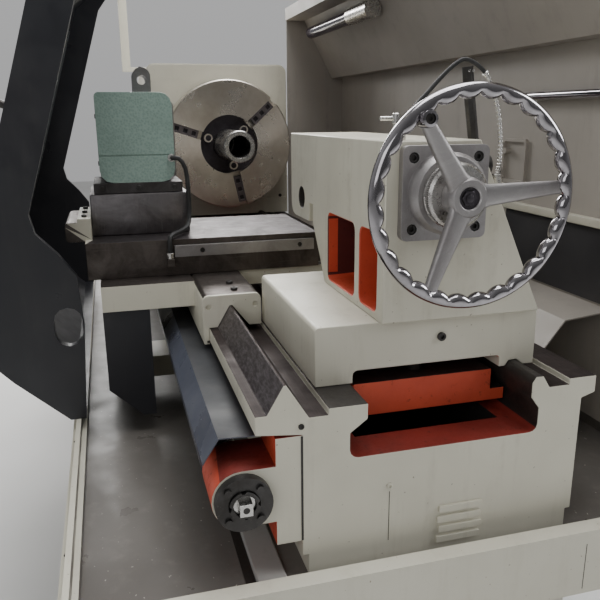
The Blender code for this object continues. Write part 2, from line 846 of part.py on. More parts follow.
def piece(name, mesh, material, group):
    """A named sub-part that hangs on its group's empty and keeps its place."""
    obj = bpy.data.objects.new(name, mesh)
    mesh.name = name
    mesh.materials.clear()
    mesh.materials.append(material)
    MACHINE.objects.link(obj)
    obj.parent = group
    bpy.context.view_layer.update()
    shift = group.matrix_world.translation - LATHE.location
    mesh.transform(Matrix.Translation(-shift))
    mesh.shade_smooth()
    mesh.set_sharp_from_angle(angle=math.radians(30))
    return obj


def shape(obj, mesh, operation):
    """Cuts a mesh away from a piece, or joins it to the piece, as a Boolean that stays editable."""
    tool = bpy.data.objects.new(obj.name + "_" + operation.lower(), mesh)
    CUTTERS.objects.link(tool)
    tool.parent = LATHE
    tool.hide_render = True
    tool.display_type = "WIRE"
    boolean = obj.modifiers.new(operation.lower(), "BOOLEAN")
    boolean.operation = operation
    boolean.object = tool
    return obj


def cut(obj, *meshes):
    for mesh in meshes:
        shape(obj, mesh, "DIFFERENCE")
    return obj


def join(obj, *meshes):
    for mesh in meshes:
        shape(obj, mesh, "UNION")
    return obj


def soften(obj, width, segments=2):
    bevel = obj.modifiers.new("edges", "BEVEL")
    bevel.width = width
    bevel.segments = segments
    bevel.limit_method = "ANGLE"
    bevel.angle_limit = math.radians(40)
    return obj


MIDDLE_X = (BELT_COVER[0] + PAN_TAIL) / 2
MIDDLE_Y = (min(y for y, _ in DOOR_SKIN) + PAN_REAR + CLEAR + CABINET_DEPTH) / 2
LATHE = empty("lathe", (-MIDDLE_X, -MIDDLE_Y, SPINDLE_HEIGHT))

CARRIAGE_PLACE = (SADDLE[1], 0, WAY_LEVEL)
CARRIAGE = empty("carriage_slide", CARRIAGE_PLACE, LATHE)
TAIL_PLACE = (TAIL_BASE[1], 0, WAY_LEVEL)
TAIL = empty("tailstock_slide", TAIL_PLACE, LATHE)


def axis_in(name, place, parent, parent_place):
    """An empty on a joint's axis, given by its place on the lathe's lines."""
    return empty(name, Vector(place) - Vector(parent_place), parent)


CROSS_PLACE = (X_SCREW_X, SLIDE_FRONT, X_SCREW_Z)
CROSS = axis_in("cross_slide_way", CROSS_PLACE, CARRIAGE, CARRIAGE_PLACE)
SPINDLE_AXIS = axis_in("spindle_axis", (CHUCK_FACE, 0, 0), LATHE, (0, 0, 0))
MOTOR_AXIS = axis_in("motor_axis", (MOTOR[0], 0, -MOTOR_DROP), LATHE, (0, 0, 0))
Z_SCREW_AXIS = axis_in("z_screw_axis", (0, SCREW_Y, SCREW_Z), LATHE, (0, 0, 0))
X_SCREW_AXIS = axis_in("x_screw_axis", CROSS_PLACE, CARRIAGE, CARRIAGE_PLACE)
HEAD_AXIS = axis_in("turret_axis", (TURRET[0], HEAD_Y, HEAD_Z), CROSS, CROSS_PLACE)
QUILL_AXIS = axis_in("quill_axis", (TAIL_NOSE, 0, 0), TAIL, TAIL_PLACE)
WHEEL_AXIS = axis_in("handwheel_axis", (0, 0, 0), TAIL, TAIL_PLACE)
LEVER_AXIS = axis_in("clamp_lever_axis", (LEVER_X, LEVER_Y, LEVER_Z), TAIL, TAIL_PLACE)
DOOR_SLIDE = axis_in("door_slide", (DOOR[1], RAIL_Y, DOOR_FOOT_Z), LATHE, (0, 0, 0))
STOP_AXIS = axis_in("stop_button_axis", (STOP_X, CONTROL_FRONT, STOP_Z), LATHE, (0, 0, 0))


def around(centre, half):
    return (centre - half, centre + half)


def running(radius, steps=SMALL_STEPS):
    """The radius of a faceted bore in which a faceted shaft of this radius turns clear."""
    return (radius + CLEAR) / math.cos(math.pi / steps)


def folded(points, thickness):
    """The outline of a sheet folded along the points, its thickness to the left of the way they run."""
    inner = []
    for index, point in enumerate(points):
        here = Vector(point)
        ways = []
        if index > 0:
            ways.append((here - Vector(points[index - 1])).normalized())
        if index < len(points) - 1:
            ways.append((Vector(points[index + 1]) - here).normalized())
        normals = [Vector((-way.y, way.x)) for way in ways]
        middle = sum(normals, Vector((0, 0))).normalized()
        inner.append(tuple(here + middle * (thickness / middle.dot(normals[0]))))
    return [*points, *reversed(inner)]


def over_front_vee(level):
    """The way a slide's underside steps over the front vee, from front to rear."""
    return [
        (VEE_FRONT_FOOT - WAY_GAP, level),
        (VEE_FRONT_TOP - WAY_GAP, VEE_LEVEL + WAY_GAP),
        (VEE_REAR_TOP + WAY_GAP, VEE_LEVEL + WAY_GAP),
        (VEE_REAR_FOOT + WAY_GAP, level),
    ]


def over_inner_vee(level):
    return [
        (LIP_REAR - WAY_GAP, level),
        (INNER_VEE_TOP_START - WAY_GAP, INNER_VEE_LEVEL + WAY_GAP),
        (INNER_VEE_TOP_END + WAY_GAP, INNER_VEE_LEVEL + WAY_GAP),
        (INNER_VEE_FOOT + WAY_GAP, level),
    ]


ON_WAY = WAY_LEVEL + CLEAR
PAN_HEAD = -BED_LENGTH
PAN_FLOOR = FOOT_LEVEL - CLEAR
PAN_UNDERSIDE = PAN_FLOOR - PAN_SHEET
PEDESTAL_TOP = PAN_UNDERSIDE - CLEAR
FLOOR = -SPINDLE_HEIGHT


def make_bed():
    groove = WAY_LEVEL - WAY_GROOVE
    section = fillet(
        [
            (BED_FRONT, WAY_LEVEL),
            (VEE_FRONT_FOOT, WAY_LEVEL),
            (VEE_FRONT_TOP, VEE_LEVEL),
            (VEE_REAR_TOP, VEE_LEVEL),
            (VEE_REAR_FOOT, groove),
            (FRONT_GROOVE_END, groove),
            (FRONT_GROOVE_END, WAY_LEVEL),
            (LIP_FRONT, WAY_LEVEL),
            (LIP_FRONT, LIP_LEVEL),
            (CHANNEL_FRONT, CHANNEL_SHOULDER),
            (CHANNEL_FRONT, CHANNEL_FLOOR, CHANNEL_ROUND),
            (CHANNEL_REAR, CHANNEL_FLOOR, CHANNEL_ROUND),
            (CHANNEL_REAR, CHANNEL_SHOULDER),
            (LIP_REAR, LIP_LEVEL),
            (LIP_REAR, WAY_LEVEL),
            (INNER_VEE_TOP_START, INNER_VEE_LEVEL),
            (INNER_VEE_TOP_END, INNER_VEE_LEVEL),
            (INNER_VEE_FOOT, groove),
            (REAR_GROOVE_END, groove),
            (REAR_GROOVE_END, WAY_LEVEL),
            (BED_REAR, WAY_LEVEL),
            (BED_REAR, FLANGE_LEVEL),
            (BODY_REAR, COVE_LEVEL),
            (BODY_REAR, BED_BOTTOM),
            (BODY_FRONT, BED_BOTTOM),
            (BODY_FRONT, COVE_LEVEL),
            (BED_FRONT, FLANGE_LEVEL),
        ]
    )
    bed = piece("bed", extruded("X", (-BED_LENGTH, 0), section), CREAM, LATHE)
    foot = (BODY_FRONT + FOOT_INSET, BODY_REAR - FOOT_INSET)
    join(bed, block((-BED_LENGTH, 0), foot, (FOOT_LEVEL, BED_BOTTOM + OVERRUN)))
    middle = (CHANNEL_FRONT + CHANNEL_REAR) / 2
    for index in range(POCKET_COUNT):
        tail_end = -POCKET_START - index * (POCKET_LENGTH + POCKET_RIB)
        pocket = block(
            (tail_end - POCKET_LENGTH, tail_end),
            around(middle, POCKET_WIDTH / 2),
            (FOOT_LEVEL - OVERRUN, CHANNEL_FLOOR + OVERRUN),
        )
        cut(bed, pocket)


def pan_box(inset, z):
    return block((PAN_HEAD + inset, PAN_TAIL - inset), (PAN_FRONT + inset, PAN_REAR - inset), z)


def make_pan():
    """A tray with a turned-down rim and a skirt, and the door's rail along its front edge."""
    pan = piece("chip_pan", pan_box(0, (PAN_SKIRT, PAN_RIM_LEVEL)), GREY_SHEET, LATHE)
    cut(pan, pan_box(PAN_SHEET, (PAN_SKIRT - OVERRUN, PAN_RIM_LEVEL - PAN_SHEET)))
    cut(pan, pan_box(PAN_RIM, (PAN_SKIRT, PAN_RIM_LEVEL + OVERRUN)))
    join(pan, pan_box(PAN_RIM - PAN_SHEET, (PAN_UNDERSIDE, PAN_RIM_LEVEL)))
    cut(pan, pan_box(PAN_RIM, (PAN_FLOOR, PAN_RIM_LEVEL + OVERRUN)))
    bed_end = block(
        (PAN_HEAD - OVERRUN, PAN_HEAD + PAN_RIM + OVERRUN),
        (BODY_FRONT - CLEAR, BODY_REAR + CLEAR),
        (PAN_FLOOR, PAN_RIM_LEVEL + OVERRUN),
    )
    cut(pan, bed_end)
    rail = block(
        (PAN_HEAD + PAN_RIM, PAN_TAIL - PAN_RIM),
        around(RAIL_Y, RAIL_WIDTH / 2),
        (PAN_RIM_LEVEL - PAN_SHEET / 2, DOOR_FOOT_Z - CLEAR),
    )
    join(pan, rail)
    spout = (TANK_TOP + TANK_LID + CLEAR, PAN_FLOOR - PAN_SHEET / 2)
    join(pan, rod("Z", (DRAIN_X, DRAIN_Y), DRAIN_RADIUS + PAN_SHEET, spout))
    cut(pan, rod("Z", (DRAIN_X, DRAIN_Y), DRAIN_RADIUS, (spout[0] - OVERRUN, PAN_FLOOR + OVERRUN)))


def make_pedestal(name, span):
    """A box casting that is open below, on a foot flange with four levelling pads."""
    y = (PEDESTAL_FRONT, PEDESTAL_REAR)
    flange_z = FLOOR + PAD_HEIGHT
    outline = rounded_box(span, y, PEDESTAL_ROUND)
    body = piece(name, extruded("Z", (flange_z, PEDESTAL_TOP), outline), CREAM, LATHE)
    flange = block(
        (span[0] - PEDESTAL_FLANGE, span[1] + PEDESTAL_FLANGE),
        (y[0] - PEDESTAL_FLANGE, y[1] + PEDESTAL_FLANGE),
        (flange_z, flange_z + PEDESTAL_FLANGE_HEIGHT),
    )
    join(body, flange)
    hollow = block(
        (span[0] + PEDESTAL_WALL, span[1] - PEDESTAL_WALL),
        (y[0] + PEDESTAL_WALL, y[1] - PEDESTAL_WALL),
        (flange_z - OVERRUN, PEDESTAL_TOP - PEDESTAL_WALL),
    )
    cut(body, hollow)
    panel_x = (span[0] + PANEL_MARGIN, span[1] - PANEL_MARGIN)
    panel_z = (flange_z + PANEL_MARGIN, PEDESTAL_TOP - PANEL_MARGIN)
    cut(body, block(panel_x, (y[0] - OVERRUN, y[0] + PANEL_RECESS), panel_z))
    for x in (span[0] + PAD_RADIUS + PAD_INSET, span[1] - PAD_RADIUS - PAD_INSET):
        for pad_y in (y[0] - PEDESTAL_FLANGE + PAD_INSET, y[1] + PEDESTAL_FLANGE - PAD_INSET):
            stem = (FLOOR + PAD_STEM / 2, flange_z + PAD_STEM)
            join(body, rod("Z", (x, pad_y), PAD_STEM, stem, FEW_STEPS))
            join(body, rod("Z", (x, pad_y), PAD_RADIUS, (FLOOR, FLOOR + PAD_STEM), FEW_STEPS))
    return body


def make_headstock():
    section = fillet(
        [
            (HEADSTOCK_FRONT, ON_WAY),
            *over_front_vee(ON_WAY),
            *over_inner_vee(ON_WAY),
            (HEADSTOCK_REAR, ON_WAY),
            (HEADSTOCK_REAR, HEADSTOCK_TOP, HEADSTOCK_ROUND),
            (HEADSTOCK_FRONT, HEADSTOCK_TOP, HEADSTOCK_ROUND),
        ]
    )
    span = (HEADSTOCK_END, HEADSTOCK_FACE)
    headstock = piece("headstock", extruded("X", span, section), CREAM, LATHE)
    cut(headstock, rod("X", (0, 0), HEADSTOCK_BORE, (span[0] - OVERRUN, span[1] + OVERRUN), ROUND_STEPS))
    front_bore = (FRONT_BEARING[0] - CLEAR, span[1] + OVERRUN)
    cut(headstock, rod("X", (0, 0), FRONT_BEARING_RADIUS + CLEAR, front_bore, ROUND_STEPS))
    rear_bore = (span[0] - OVERRUN, REAR_BEARING[1] + CLEAR)
    cut(headstock, rod("X", (0, 0), REAR_BEARING_RADIUS + CLEAR, rear_bore, ROUND_STEPS))
    guard_x = (span[1] + CLEAR, span[1] + CLEAR + GUARD_THICKNESS)
    plate = rounded_box(
        (HEADSTOCK_FRONT + OVERRUN, HEADSTOCK_REAR - OVERRUN),
        (ON_WAY + VEE_LEVEL - WAY_LEVEL + OVERRUN, HEADSTOCK_TOP - OVERRUN),
        HEADSTOCK_ROUND,
    )
    guard = extruded("X", guard_x, plate, circle(0, 0, GUARD_HOLE, ROUND_STEPS))
    guard = piece("headstock_guard", guard, CREAM, LATHE)
    seam = block(
        (guard_x[1] - GUARD_SEAM / 2, guard_x[1] + OVERRUN),
        (HEADSTOCK_FRONT, HEADSTOCK_REAR),
        around(GUARD_SEAM_LEVEL, GUARD_SEAM / 2),
    )
    cut(guard, seam)


def make_spindle():
    nose = CHUCK_FACE - CHUCK_THICKNESS - CLEAR
    shoulder = nose - SPINDLE_FLANGE
    profile = [
        (SPINDLE_FLANGE_RADIUS, nose),
        (SPINDLE_FLANGE_RADIUS, shoulder),
        (SPINDLE_FRONT_JOURNAL, shoulder),
        (SPINDLE_FRONT_JOURNAL, FRONT_BEARING[0]),
        (SPINDLE_MIDDLE, FRONT_BEARING[0]),
        (SPINDLE_MIDDLE, REAR_BEARING[1] + CLEAR),
        (SPINDLE_REAR_JOURNAL, REAR_BEARING[1] + CLEAR),
        (SPINDLE_REAR_JOURNAL, PULLEY_START + PULLEY_WIDTH + CLEAR),
        (SPINDLE_TAIL_RADIUS, PULLEY_START + PULLEY_WIDTH + CLEAR),
        (SPINDLE_TAIL_RADIUS, SPINDLE_END),
        (SPINDLE_BORE, SPINDLE_END),
        (SPINDLE_BORE, nose),
    ]
    piece("spindle", turned(profile), STEEL, SPINDLE_AXIS)
    bearings = (
        ("front_bearing", FRONT_BEARING, FRONT_BEARING_RADIUS, SPINDLE_FRONT_JOURNAL),
        ("rear_bearing", REAR_BEARING, REAR_BEARING_RADIUS, SPINDLE_REAR_JOURNAL),
    )
    for name, span, outer, journal in bearings:
        bore = running(journal, ROUND_STEPS)
        ring = [(outer, span[1]), (outer, span[0]), (bore, span[0]), (bore, span[1])]
        piece(name, turned(ring), STEEL, LATHE)


def grooved_pulley(name, radius, bore, centre_z, group):
    pitch = PULLEY_WIDTH / PULLEY_GROOVES
    end = PULLEY_START + PULLEY_WIDTH
    profile = [(radius, end)]
    for index in range(PULLEY_GROOVES):
        top = end - index * pitch
        profile += [(radius - PULLEY_GROOVE, top - pitch / 2), (radius, top - pitch)]
    profile += [(bore, PULLEY_START), (bore, end)]
    return piece(name, turned(profile, (0, 0, centre_z)), DARK_STEEL, group)


def belt_loop(lift):
    """The outline of a belt round both pulleys, lifted off their rims."""
    lean = math.asin((PULLEY_RADIUS - MOTOR_PULLEY_RADIUS) / MOTOR_DROP)
    outline = []
    for radius, level, first, last in (
        (PULLEY_RADIUS, 0, -lean, math.pi + lean),
        (MOTOR_PULLEY_RADIUS, -MOTOR_DROP, math.pi + lean, 2 * math.pi - lean),
    ):
        for step in range(ROUND_STEPS + 1):
            angle = first + (last - first) * step / ROUND_STEPS
            outline.append(
                ((radius + lift) * math.cos(angle), level + (radius + lift) * math.sin(angle))
            )
    return outline


def make_drive():
    grooved_pulley("spindle_pulley", PULLEY_RADIUS, SPINDLE_TAIL_RADIUS + CLEAR, 0, SPINDLE_AXIS)
    bore = MOTOR_SHAFT * BORE_SHARE
    pulley = grooved_pulley("motor_pulley", MOTOR_PULLEY_RADIUS, bore, -MOTOR_DROP, MOTOR_AXIS)
    shaft = (PULLEY_START, MOTOR[0] + MOTOR_SHAFT)
    join(pulley, rod("X", (0, -MOTOR_DROP), MOTOR_SHAFT, shaft))
    span = (PULLEY_START, PULLEY_START + PULLEY_WIDTH)
    belt = extruded("X", span, belt_loop(CLEAR + BELT_THICKNESS), belt_loop(CLEAR))
    piece("drive_belt", belt, RUBBER, LATHE)
    fins = []
    for index in range(4 * MOTOR_FINS):
        angle = 2 * math.pi * index / (4 * MOTOR_FINS)
        radius = MOTOR_RADIUS - (MOTOR_FIN if index % 4 > 1 else 0)
        fins.append((radius * math.cos(angle), -MOTOR_DROP + radius * math.sin(angle)))
    motor = piece("main_motor", extruded("X", MOTOR, fins), MOTOR_BLACK, LATHE)
    shelf = -MOTOR_DROP - MOTOR_RADIUS - MOTOR_FIN
    foot = block(
        (MOTOR[0] + MOTOR_FIN, MOTOR[1] - MOTOR_FIN),
        around(0, MOTOR_FOOT_WIDTH / 2),
        (shelf, -MOTOR_DROP - MOTOR_RADIUS * SQUARE_SHARE),
    )
    join(motor, foot)
    well = (MOTOR[0] - OVERRUN, shaft[1] + CLEAR)
    cut(motor, rod("X", (0, -MOTOR_DROP), running(MOTOR_SHAFT), well))
    outer = rounded_box(
        around(0, BELT_COVER_HALF), (BELT_COVER_BOTTOM, BELT_COVER_TOP), BELT_COVER_ROUND
    )
    inner = rounded_box(
        around(0, BELT_COVER_HALF - SHEET),
        (BELT_COVER_BOTTOM + SHEET, BELT_COVER_TOP - SHEET),
        BELT_COVER_ROUND - SHEET,
    )
    cover = piece("belt_cover", extruded("X", BELT_COVER, outer), CREAM, LATHE)
    cut(cover, extruded("X", (BELT_COVER[0] + SHEET, BELT_COVER[1] + OVERRUN), inner))


def turned_about_spindle(mesh, angle):
    mesh.transform(Matrix.Rotation(angle, 4, "X"))
    return mesh


def make_chuck():
    """The body lies face to the tail, with three T-slots out from a sunk centre."""
    back = CHUCK_FACE - CHUCK_THICKNESS
    floor = CHUCK_FACE - RECESS_DEPTH
    profile = [
        (RECESS_RADIUS, CHUCK_FACE),
        (CHUCK_RADIUS - CHUCK_CHAMFER, CHUCK_FACE),
        (CHUCK_RADIUS, CHUCK_FACE - CHUCK_CHAMFER),
        (CHUCK_RADIUS, back),
        (CHUCK_BORE, back),
        (CHUCK_BORE, floor),
        (RECESS_RADIUS, floor),
    ]
    body = piece("chuck_body", turned(profile, steps=2 * ROUND_STEPS), STEEL, SPINDLE_AXIS)
    rim = CHUCK_RADIUS + OVERRUN
    foot = CHUCK_FACE - JAW_NECK_DEPTH
    for index, angle in enumerate(JAW_ANGLES):
        neck = block((foot - OVERRUN, CHUCK_FACE + OVERRUN), (BOSS_PLACE, rim), around(0, JAW_NECK / 2))
        slot = block((CHUCK_FACE - JAW_DEPTH, foot), (RECESS_RADIUS - OVERRUN, rim), around(0, JAW_FOOT / 2))
        cut(body, turned_about_spindle(neck, angle), turned_about_spindle(slot, angle))
        boss = rod("X", (BOSS_PLACE, 0), BOSS_RADIUS, (floor - OVERRUN, floor + BOSS_HEIGHT))
        socket = (floor + OVERRUN, floor + BOSS_HEIGHT + OVERRUN)
        hole = rod("X", (BOSS_PLACE, 0), BOSS_SOCKET, socket)
        join(body, turned_about_spindle(boss, angle))
        cut(body, turned_about_spindle(hole, angle))
        make_jaw(index + 1, angle, foot)
    tap = (CHUCK_FACE - TAP_DEPTH, CHUCK_FACE + OVERRUN)
    cut(body, rod("X", (TAP_Y, TAP_Z), TAP_RADIUS, tap))
    sleeve = [
        (SLEEVE_RADIUS - SLEEVE_LIP / 2, SLEEVE_TIP),
        (SLEEVE_RADIUS, SLEEVE_TIP - SLEEVE_LIP / 2),
        (SLEEVE_RADIUS, back + CLEAR),
        (SLEEVE_BORE, back + CLEAR),
        (SLEEVE_BORE, SLEEVE_TIP - SLEEVE_LIP),
        (SLEEVE_BORE + SLEEVE_LIP / 2, SLEEVE_TIP),
    ]
    piece("chuck_sleeve", turned(sleeve), STEEL, SPINDLE_AXIS)


def make_jaw(number, angle, foot):
    """A base jaw in its T-slot, with a row of square holes for a top jaw's keys."""
    radial = (JAW_START, JAW_START + JAW_LENGTH)
    neck = JAW_NECK / 2 - CLEAR
    flank = JAW_FOOT / 2 - CLEAR
    section = [
        (CHUCK_FACE - JAW_DEPTH + CLEAR, -flank),
        (foot - CLEAR, -flank),
        (foot - CLEAR, -neck),
        (CHUCK_FACE - JAW_SINK, -neck),
        (CHUCK_FACE - JAW_SINK, neck),
        (foot - CLEAR, neck),
        (foot - CLEAR, flank),
        (CHUCK_FACE - JAW_DEPTH + CLEAR, flank),
    ]
    mesh = turned_about_spindle(extruded("Y", radial, section), angle)
    jaw = piece(f"base_jaw_{number}", mesh, DARK_STEEL, SPINDLE_AXIS)
    pitch = JAW_LENGTH / SERRATION_COUNT
    for index in range(SERRATION_COUNT):
        centre = JAW_START + pitch * (index + 1 / 2)
        pocket = block(
            (CHUCK_FACE - JAW_SINK - SERRATION_DEPTH, CHUCK_FACE + OVERRUN),
            around(centre, SERRATION_HOLE / 2),
            around(0, SERRATION_HOLE / 2),
        )
        cut(jaw, turned_about_spindle(pocket, angle))


def front_wing(gap):
    return [
        (SADDLE_FRONT, SKIRT_LEVEL),
        (BED_FRONT - WAY_GAP, SKIRT_LEVEL),
        (BED_FRONT - WAY_GAP, ON_WAY + gap),
        *over_front_vee(ON_WAY + gap),
        (WING_INNER_FRONT, ON_WAY + gap),
        (WING_INNER_FRONT, SADDLE_TOP, WING_ROUND),
        (SADDLE_FRONT, SADDLE_TOP, WING_ROUND),
    ]


def make_saddle():
    """An H-shaped casting: a wing on each outer way, and a bridge with the cross slide's way."""
    saddle = piece("saddle", extruded("X", SADDLE, fillet(front_wing(0))), CREAM, CARRIAGE)
    rear_wing = [
        (WING_INNER_REAR, ON_WAY),
        (BED_REAR + WAY_GAP, ON_WAY),
        (BED_REAR + WAY_GAP, SKIRT_LEVEL),
        (SADDLE_REAR, SKIRT_LEVEL),
        (SADDLE_REAR, SADDLE_TOP, WING_ROUND),
        (WING_INNER_REAR, SADDLE_TOP, WING_ROUND),
    ]
    join(saddle, extruded("X", SADDLE, fillet(rear_wing)))
    join(saddle, block(BRIDGE, (WING_INNER_FRONT - OVERRUN, BED_REAR), (BRIDGE_UNDERSIDE, SADDLE_TOP - WAY_GAP)))
    extension = (EXTENSION_FRONT, VEE_FRONT_FOOT)
    deep = block(EXTENSION, (extension[0], SADDLE_FRONT + WAY_GAP), (EXTENSION_BOTTOM, SADDLE_TOP))
    join(saddle, deep)
    way = block(SLIDE_WAY, (EXTENSION_FRONT, SADDLE_REAR), (SADDLE_TOP - WING_ROUND, SLIDE_WAY_TOP))
    join(saddle, way)
    channel = block(
        around(X_SCREW_X, SCREW_CHANNEL),
        (X_SCREW_FRONT, SADDLE_REAR + OVERRUN),
        (SCREW_CHANNEL_FLOOR, SLIDE_WAY_TOP + OVERRUN),
    )
    cut(saddle, channel)
    journal = (X_SCREW_FRONT - X_SCREW_JOURNAL_LENGTH - CLEAR, X_SCREW_FRONT + OVERRUN)
    cut(saddle, rod("Y", (X_SCREW_X, X_SCREW_Z), running(X_SCREW_JOURNAL), journal))
    wiper_x = (SADDLE[1] + CLEAR, SADDLE[1] + CLEAR + WIPER_THICKNESS)
    wiper = piece("way_wiper", extruded("X", wiper_x, fillet(front_wing(WAY_GAP))), CREAM, CARRIAGE)
    for y in (SADDLE_FRONT + WING_ROUND, WING_INNER_FRONT - WING_ROUND):
        hole = (wiper_x[1] - WIPER_THICKNESS / 2, wiper_x[1] + OVERRUN)
        cut(wiper, rod("X", (y, SADDLE_TOP - 2 * WING_ROUND), WIPER_SCREW, hole))


def make_apron():
    top = EXTENSION_BOTTOM - CLEAR
    section = [
        (APRON_FRONT, top),
        (APRON_REAR, top),
        (APRON_REAR, APRON_ARM_BOTTOM),
        (APRON_KNEE_Y, APRON_ARM_BOTTOM),
        (APRON_FRONT, APRON_KNEE_Z),
    ]
    apron = piece("apron", extruded("X", APRON, section), CREAM, CARRIAGE)
    join(apron, block(NUT, (APRON_REAR - OVERRUN, APRON_ARM_REAR), (APRON_ARM_BOTTOM, APRON_ARM_TOP)))
    join(apron, block(NUT, around(SCREW_Y, NUT_WEB_HALF), (APRON_ARM_BOTTOM, SCREW_Z)))
    join(apron, rod("X", (SCREW_Y, SCREW_Z), NUT_RADIUS, (NUT[0] - OVERRUN, NUT[1] + OVERRUN), ROUND_STEPS))
    bore = (NUT[0] - 2 * OVERRUN, NUT[1] + 2 * OVERRUN)
    cut(apron, rod("X", (SCREW_Y, SCREW_Z), running(Z_SCREW_RADIUS), bore))
    outline = [
        (COVER_FRONT, top),
        (COVER_REAR, top),
        (COVER_REAR, COVER_FLOOR),
        (COVER_FLOOR_Y, COVER_FLOOR),
        (COVER_FRONT, COVER_KNEE_Z),
    ]
    inside = [
        (COVER_FRONT + COVER_SHEET, top + OVERRUN),
        (COVER_REAR + OVERRUN, top + OVERRUN),
        (COVER_REAR + OVERRUN, COVER_FLOOR + COVER_SHEET),
        (COVER_FLOOR_Y + COVER_SHEET / 2, COVER_FLOOR + COVER_SHEET),
        (COVER_FRONT + COVER_SHEET, COVER_KNEE_Z + COVER_SHEET / 2),
    ]
    cover = piece("apron_cover", extruded("X", COVER, outline), DARK_SHEET, CARRIAGE)
    cut(cover, extruded("X", (COVER[0] - OVERRUN, COVER[1] - COVER_SHEET), inside))


def screw_bracket_outline():
    """A plate against the bed, and a round boss in front of it for the screw's bearing."""
    rear = BODY_FRONT - CLEAR
    front = SCREW_Y - BRACKET_RADIUS
    top = SCREW_Z + BRACKET_RADIUS
    bottom = SCREW_Z - BRACKET_RADIUS
    return fillet(
        [
            (rear, BRACKET_TOP),
            (BRACKET_PLATE, BRACKET_TOP),
            (BRACKET_PLATE, top),
            (front, top, BRACKET_RADIUS * ROUND_SHARE),
            (front, bottom, BRACKET_RADIUS * ROUND_SHARE),
            (BRACKET_PLATE, bottom),
            (BRACKET_PLATE, BRACKET_BOTTOM),
            (rear, BRACKET_BOTTOM),
        ],
        steps=2 * ARC_STEPS,
    )


def make_long_screw():
    """The lengthwise ball screw between its bearing bracket and its motor's bracket."""
    tail = (-BRACKET_LENGTH, -CLEAR)
    bracket = piece("screw_bracket", extruded("X", tail, screw_bracket_outline()), ORANGE, LATHE)
    bore = (-BRACKET_LENGTH - OVERRUN, OVERRUN)
    cut(bracket, rod("X", (SCREW_Y, SCREW_Z), running(Z_SCREW_JOURNAL), bore))
    place = (0, SCREW_Y, SCREW_Z)
    recess = CAP_THICKNESS - CAP_RECESS_DEPTH
    bore_radius = running(Z_SCREW_JOURNAL)
    cap_profile = [
        (CAP_RECESS, CAP_THICKNESS),
        (CAP_RADIUS, CAP_THICKNESS),
        (CAP_RADIUS, 0),
        (bore_radius, 0),
        (bore_radius, recess),
        (CAP_RECESS, recess),
    ]
    cap = piece("screw_bearing_cap", turned(cap_profile, place), DARK_STEEL, LATHE)
    for index in range(CAP_SCREWS):
        angle = math.pi / 4 + 2 * math.pi * index / CAP_SCREWS
        y = SCREW_Y + CAP_SCREW_CIRCLE * math.cos(angle)
        z = SCREW_Z + CAP_SCREW_CIRCLE * math.sin(angle)
        head = (CAP_THICKNESS - CAP_SCREW_HEIGHT, CAP_THICKNESS + CAP_SCREW_HEIGHT)
        join(cap, rod("X", (y, z), CAP_SCREW_RADIUS, head, FEW_STEPS))
    head_end = MOTOR_BRACKET[0] + PLUG_LENGTH
    profile = [
        (0, Z_SCREW_TIP - Z_SCREW_SQUARE_LENGTH),
        (Z_SCREW_JOURNAL, Z_SCREW_TIP - Z_SCREW_SQUARE_LENGTH),
        (Z_SCREW_JOURNAL, -BRACKET_LENGTH - CLEAR),
        (Z_SCREW_RADIUS, -BRACKET_LENGTH - CLEAR),
        (Z_SCREW_RADIUS, MOTOR_BRACKET[1] + CLEAR),
        (Z_SCREW_JOURNAL, MOTOR_BRACKET[1] + CLEAR),
        (Z_SCREW_JOURNAL, head_end),
        (0, head_end),
    ]
    screw = turned(profile, place, SMALL_STEPS, closed=False)
    screw = piece("z_ball_screw", screw, STEEL, Z_SCREW_AXIS)
    square = block(
        (Z_SCREW_TIP - 2 * Z_SCREW_SQUARE_LENGTH, Z_SCREW_TIP),
        around(SCREW_Y, Z_SCREW_SQUARE / 2),
        around(SCREW_Z, Z_SCREW_SQUARE / 2),
    )
    join(screw, square)
    holder = extruded("X", MOTOR_BRACKET, screw_bracket_outline())
    holder = piece("motor_bracket", holder, CREAM, LATHE)
    well = (head_end - CLEAR, MOTOR_BRACKET[1] + OVERRUN)
    cut(holder, rod("X", (SCREW_Y, SCREW_Z), bore_radius, well))
    make_servo("z_servo_motor", "X", (SCREW_Y, SCREW_Z), MOTOR_BRACKET[0] - CLEAR, -Z_SERVO_LENGTH, LATHE)
    cover_x = (MOTOR_BRACKET[1] + CLEAR, -SCREW_COVER_BACK)
    sheet = folded(
        [
            (SCREW_COVER_FOOT_Y, SCREW_COVER_FOOT_Z),
            (SCREW_COVER_NOSE_Y, SCREW_COVER_NOSE_Z),
            (SCREW_COVER_KNEE_Y, SCREW_COVER_KNEE_Z),
            (BODY_FRONT - CLEAR, SCREW_COVER_TOP_REAR),
        ],
        -SCREW_COVER_SHEET,
    )
    cover = piece("screw_cover", extruded("X", cover_x, sheet), DARK_SHEET, LATHE)
    notch = (-BRACKET_LENGTH - CLEAR, OVERRUN)
    top = SCREW_COVER_KNEE_Z + OVERRUN
    cut(cover, block(notch, (BRACKET_PLATE - CLEAR, BODY_FRONT + OVERRUN), (BRACKET_BOTTOM, top)))
    boss_top = SCREW_Z + BRACKET_RADIUS + CLEAR
    cut(cover, block(notch, (SCREW_COVER_NOSE_Y - OVERRUN, BODY_FRONT), (BRACKET_BOTTOM, boss_top)))


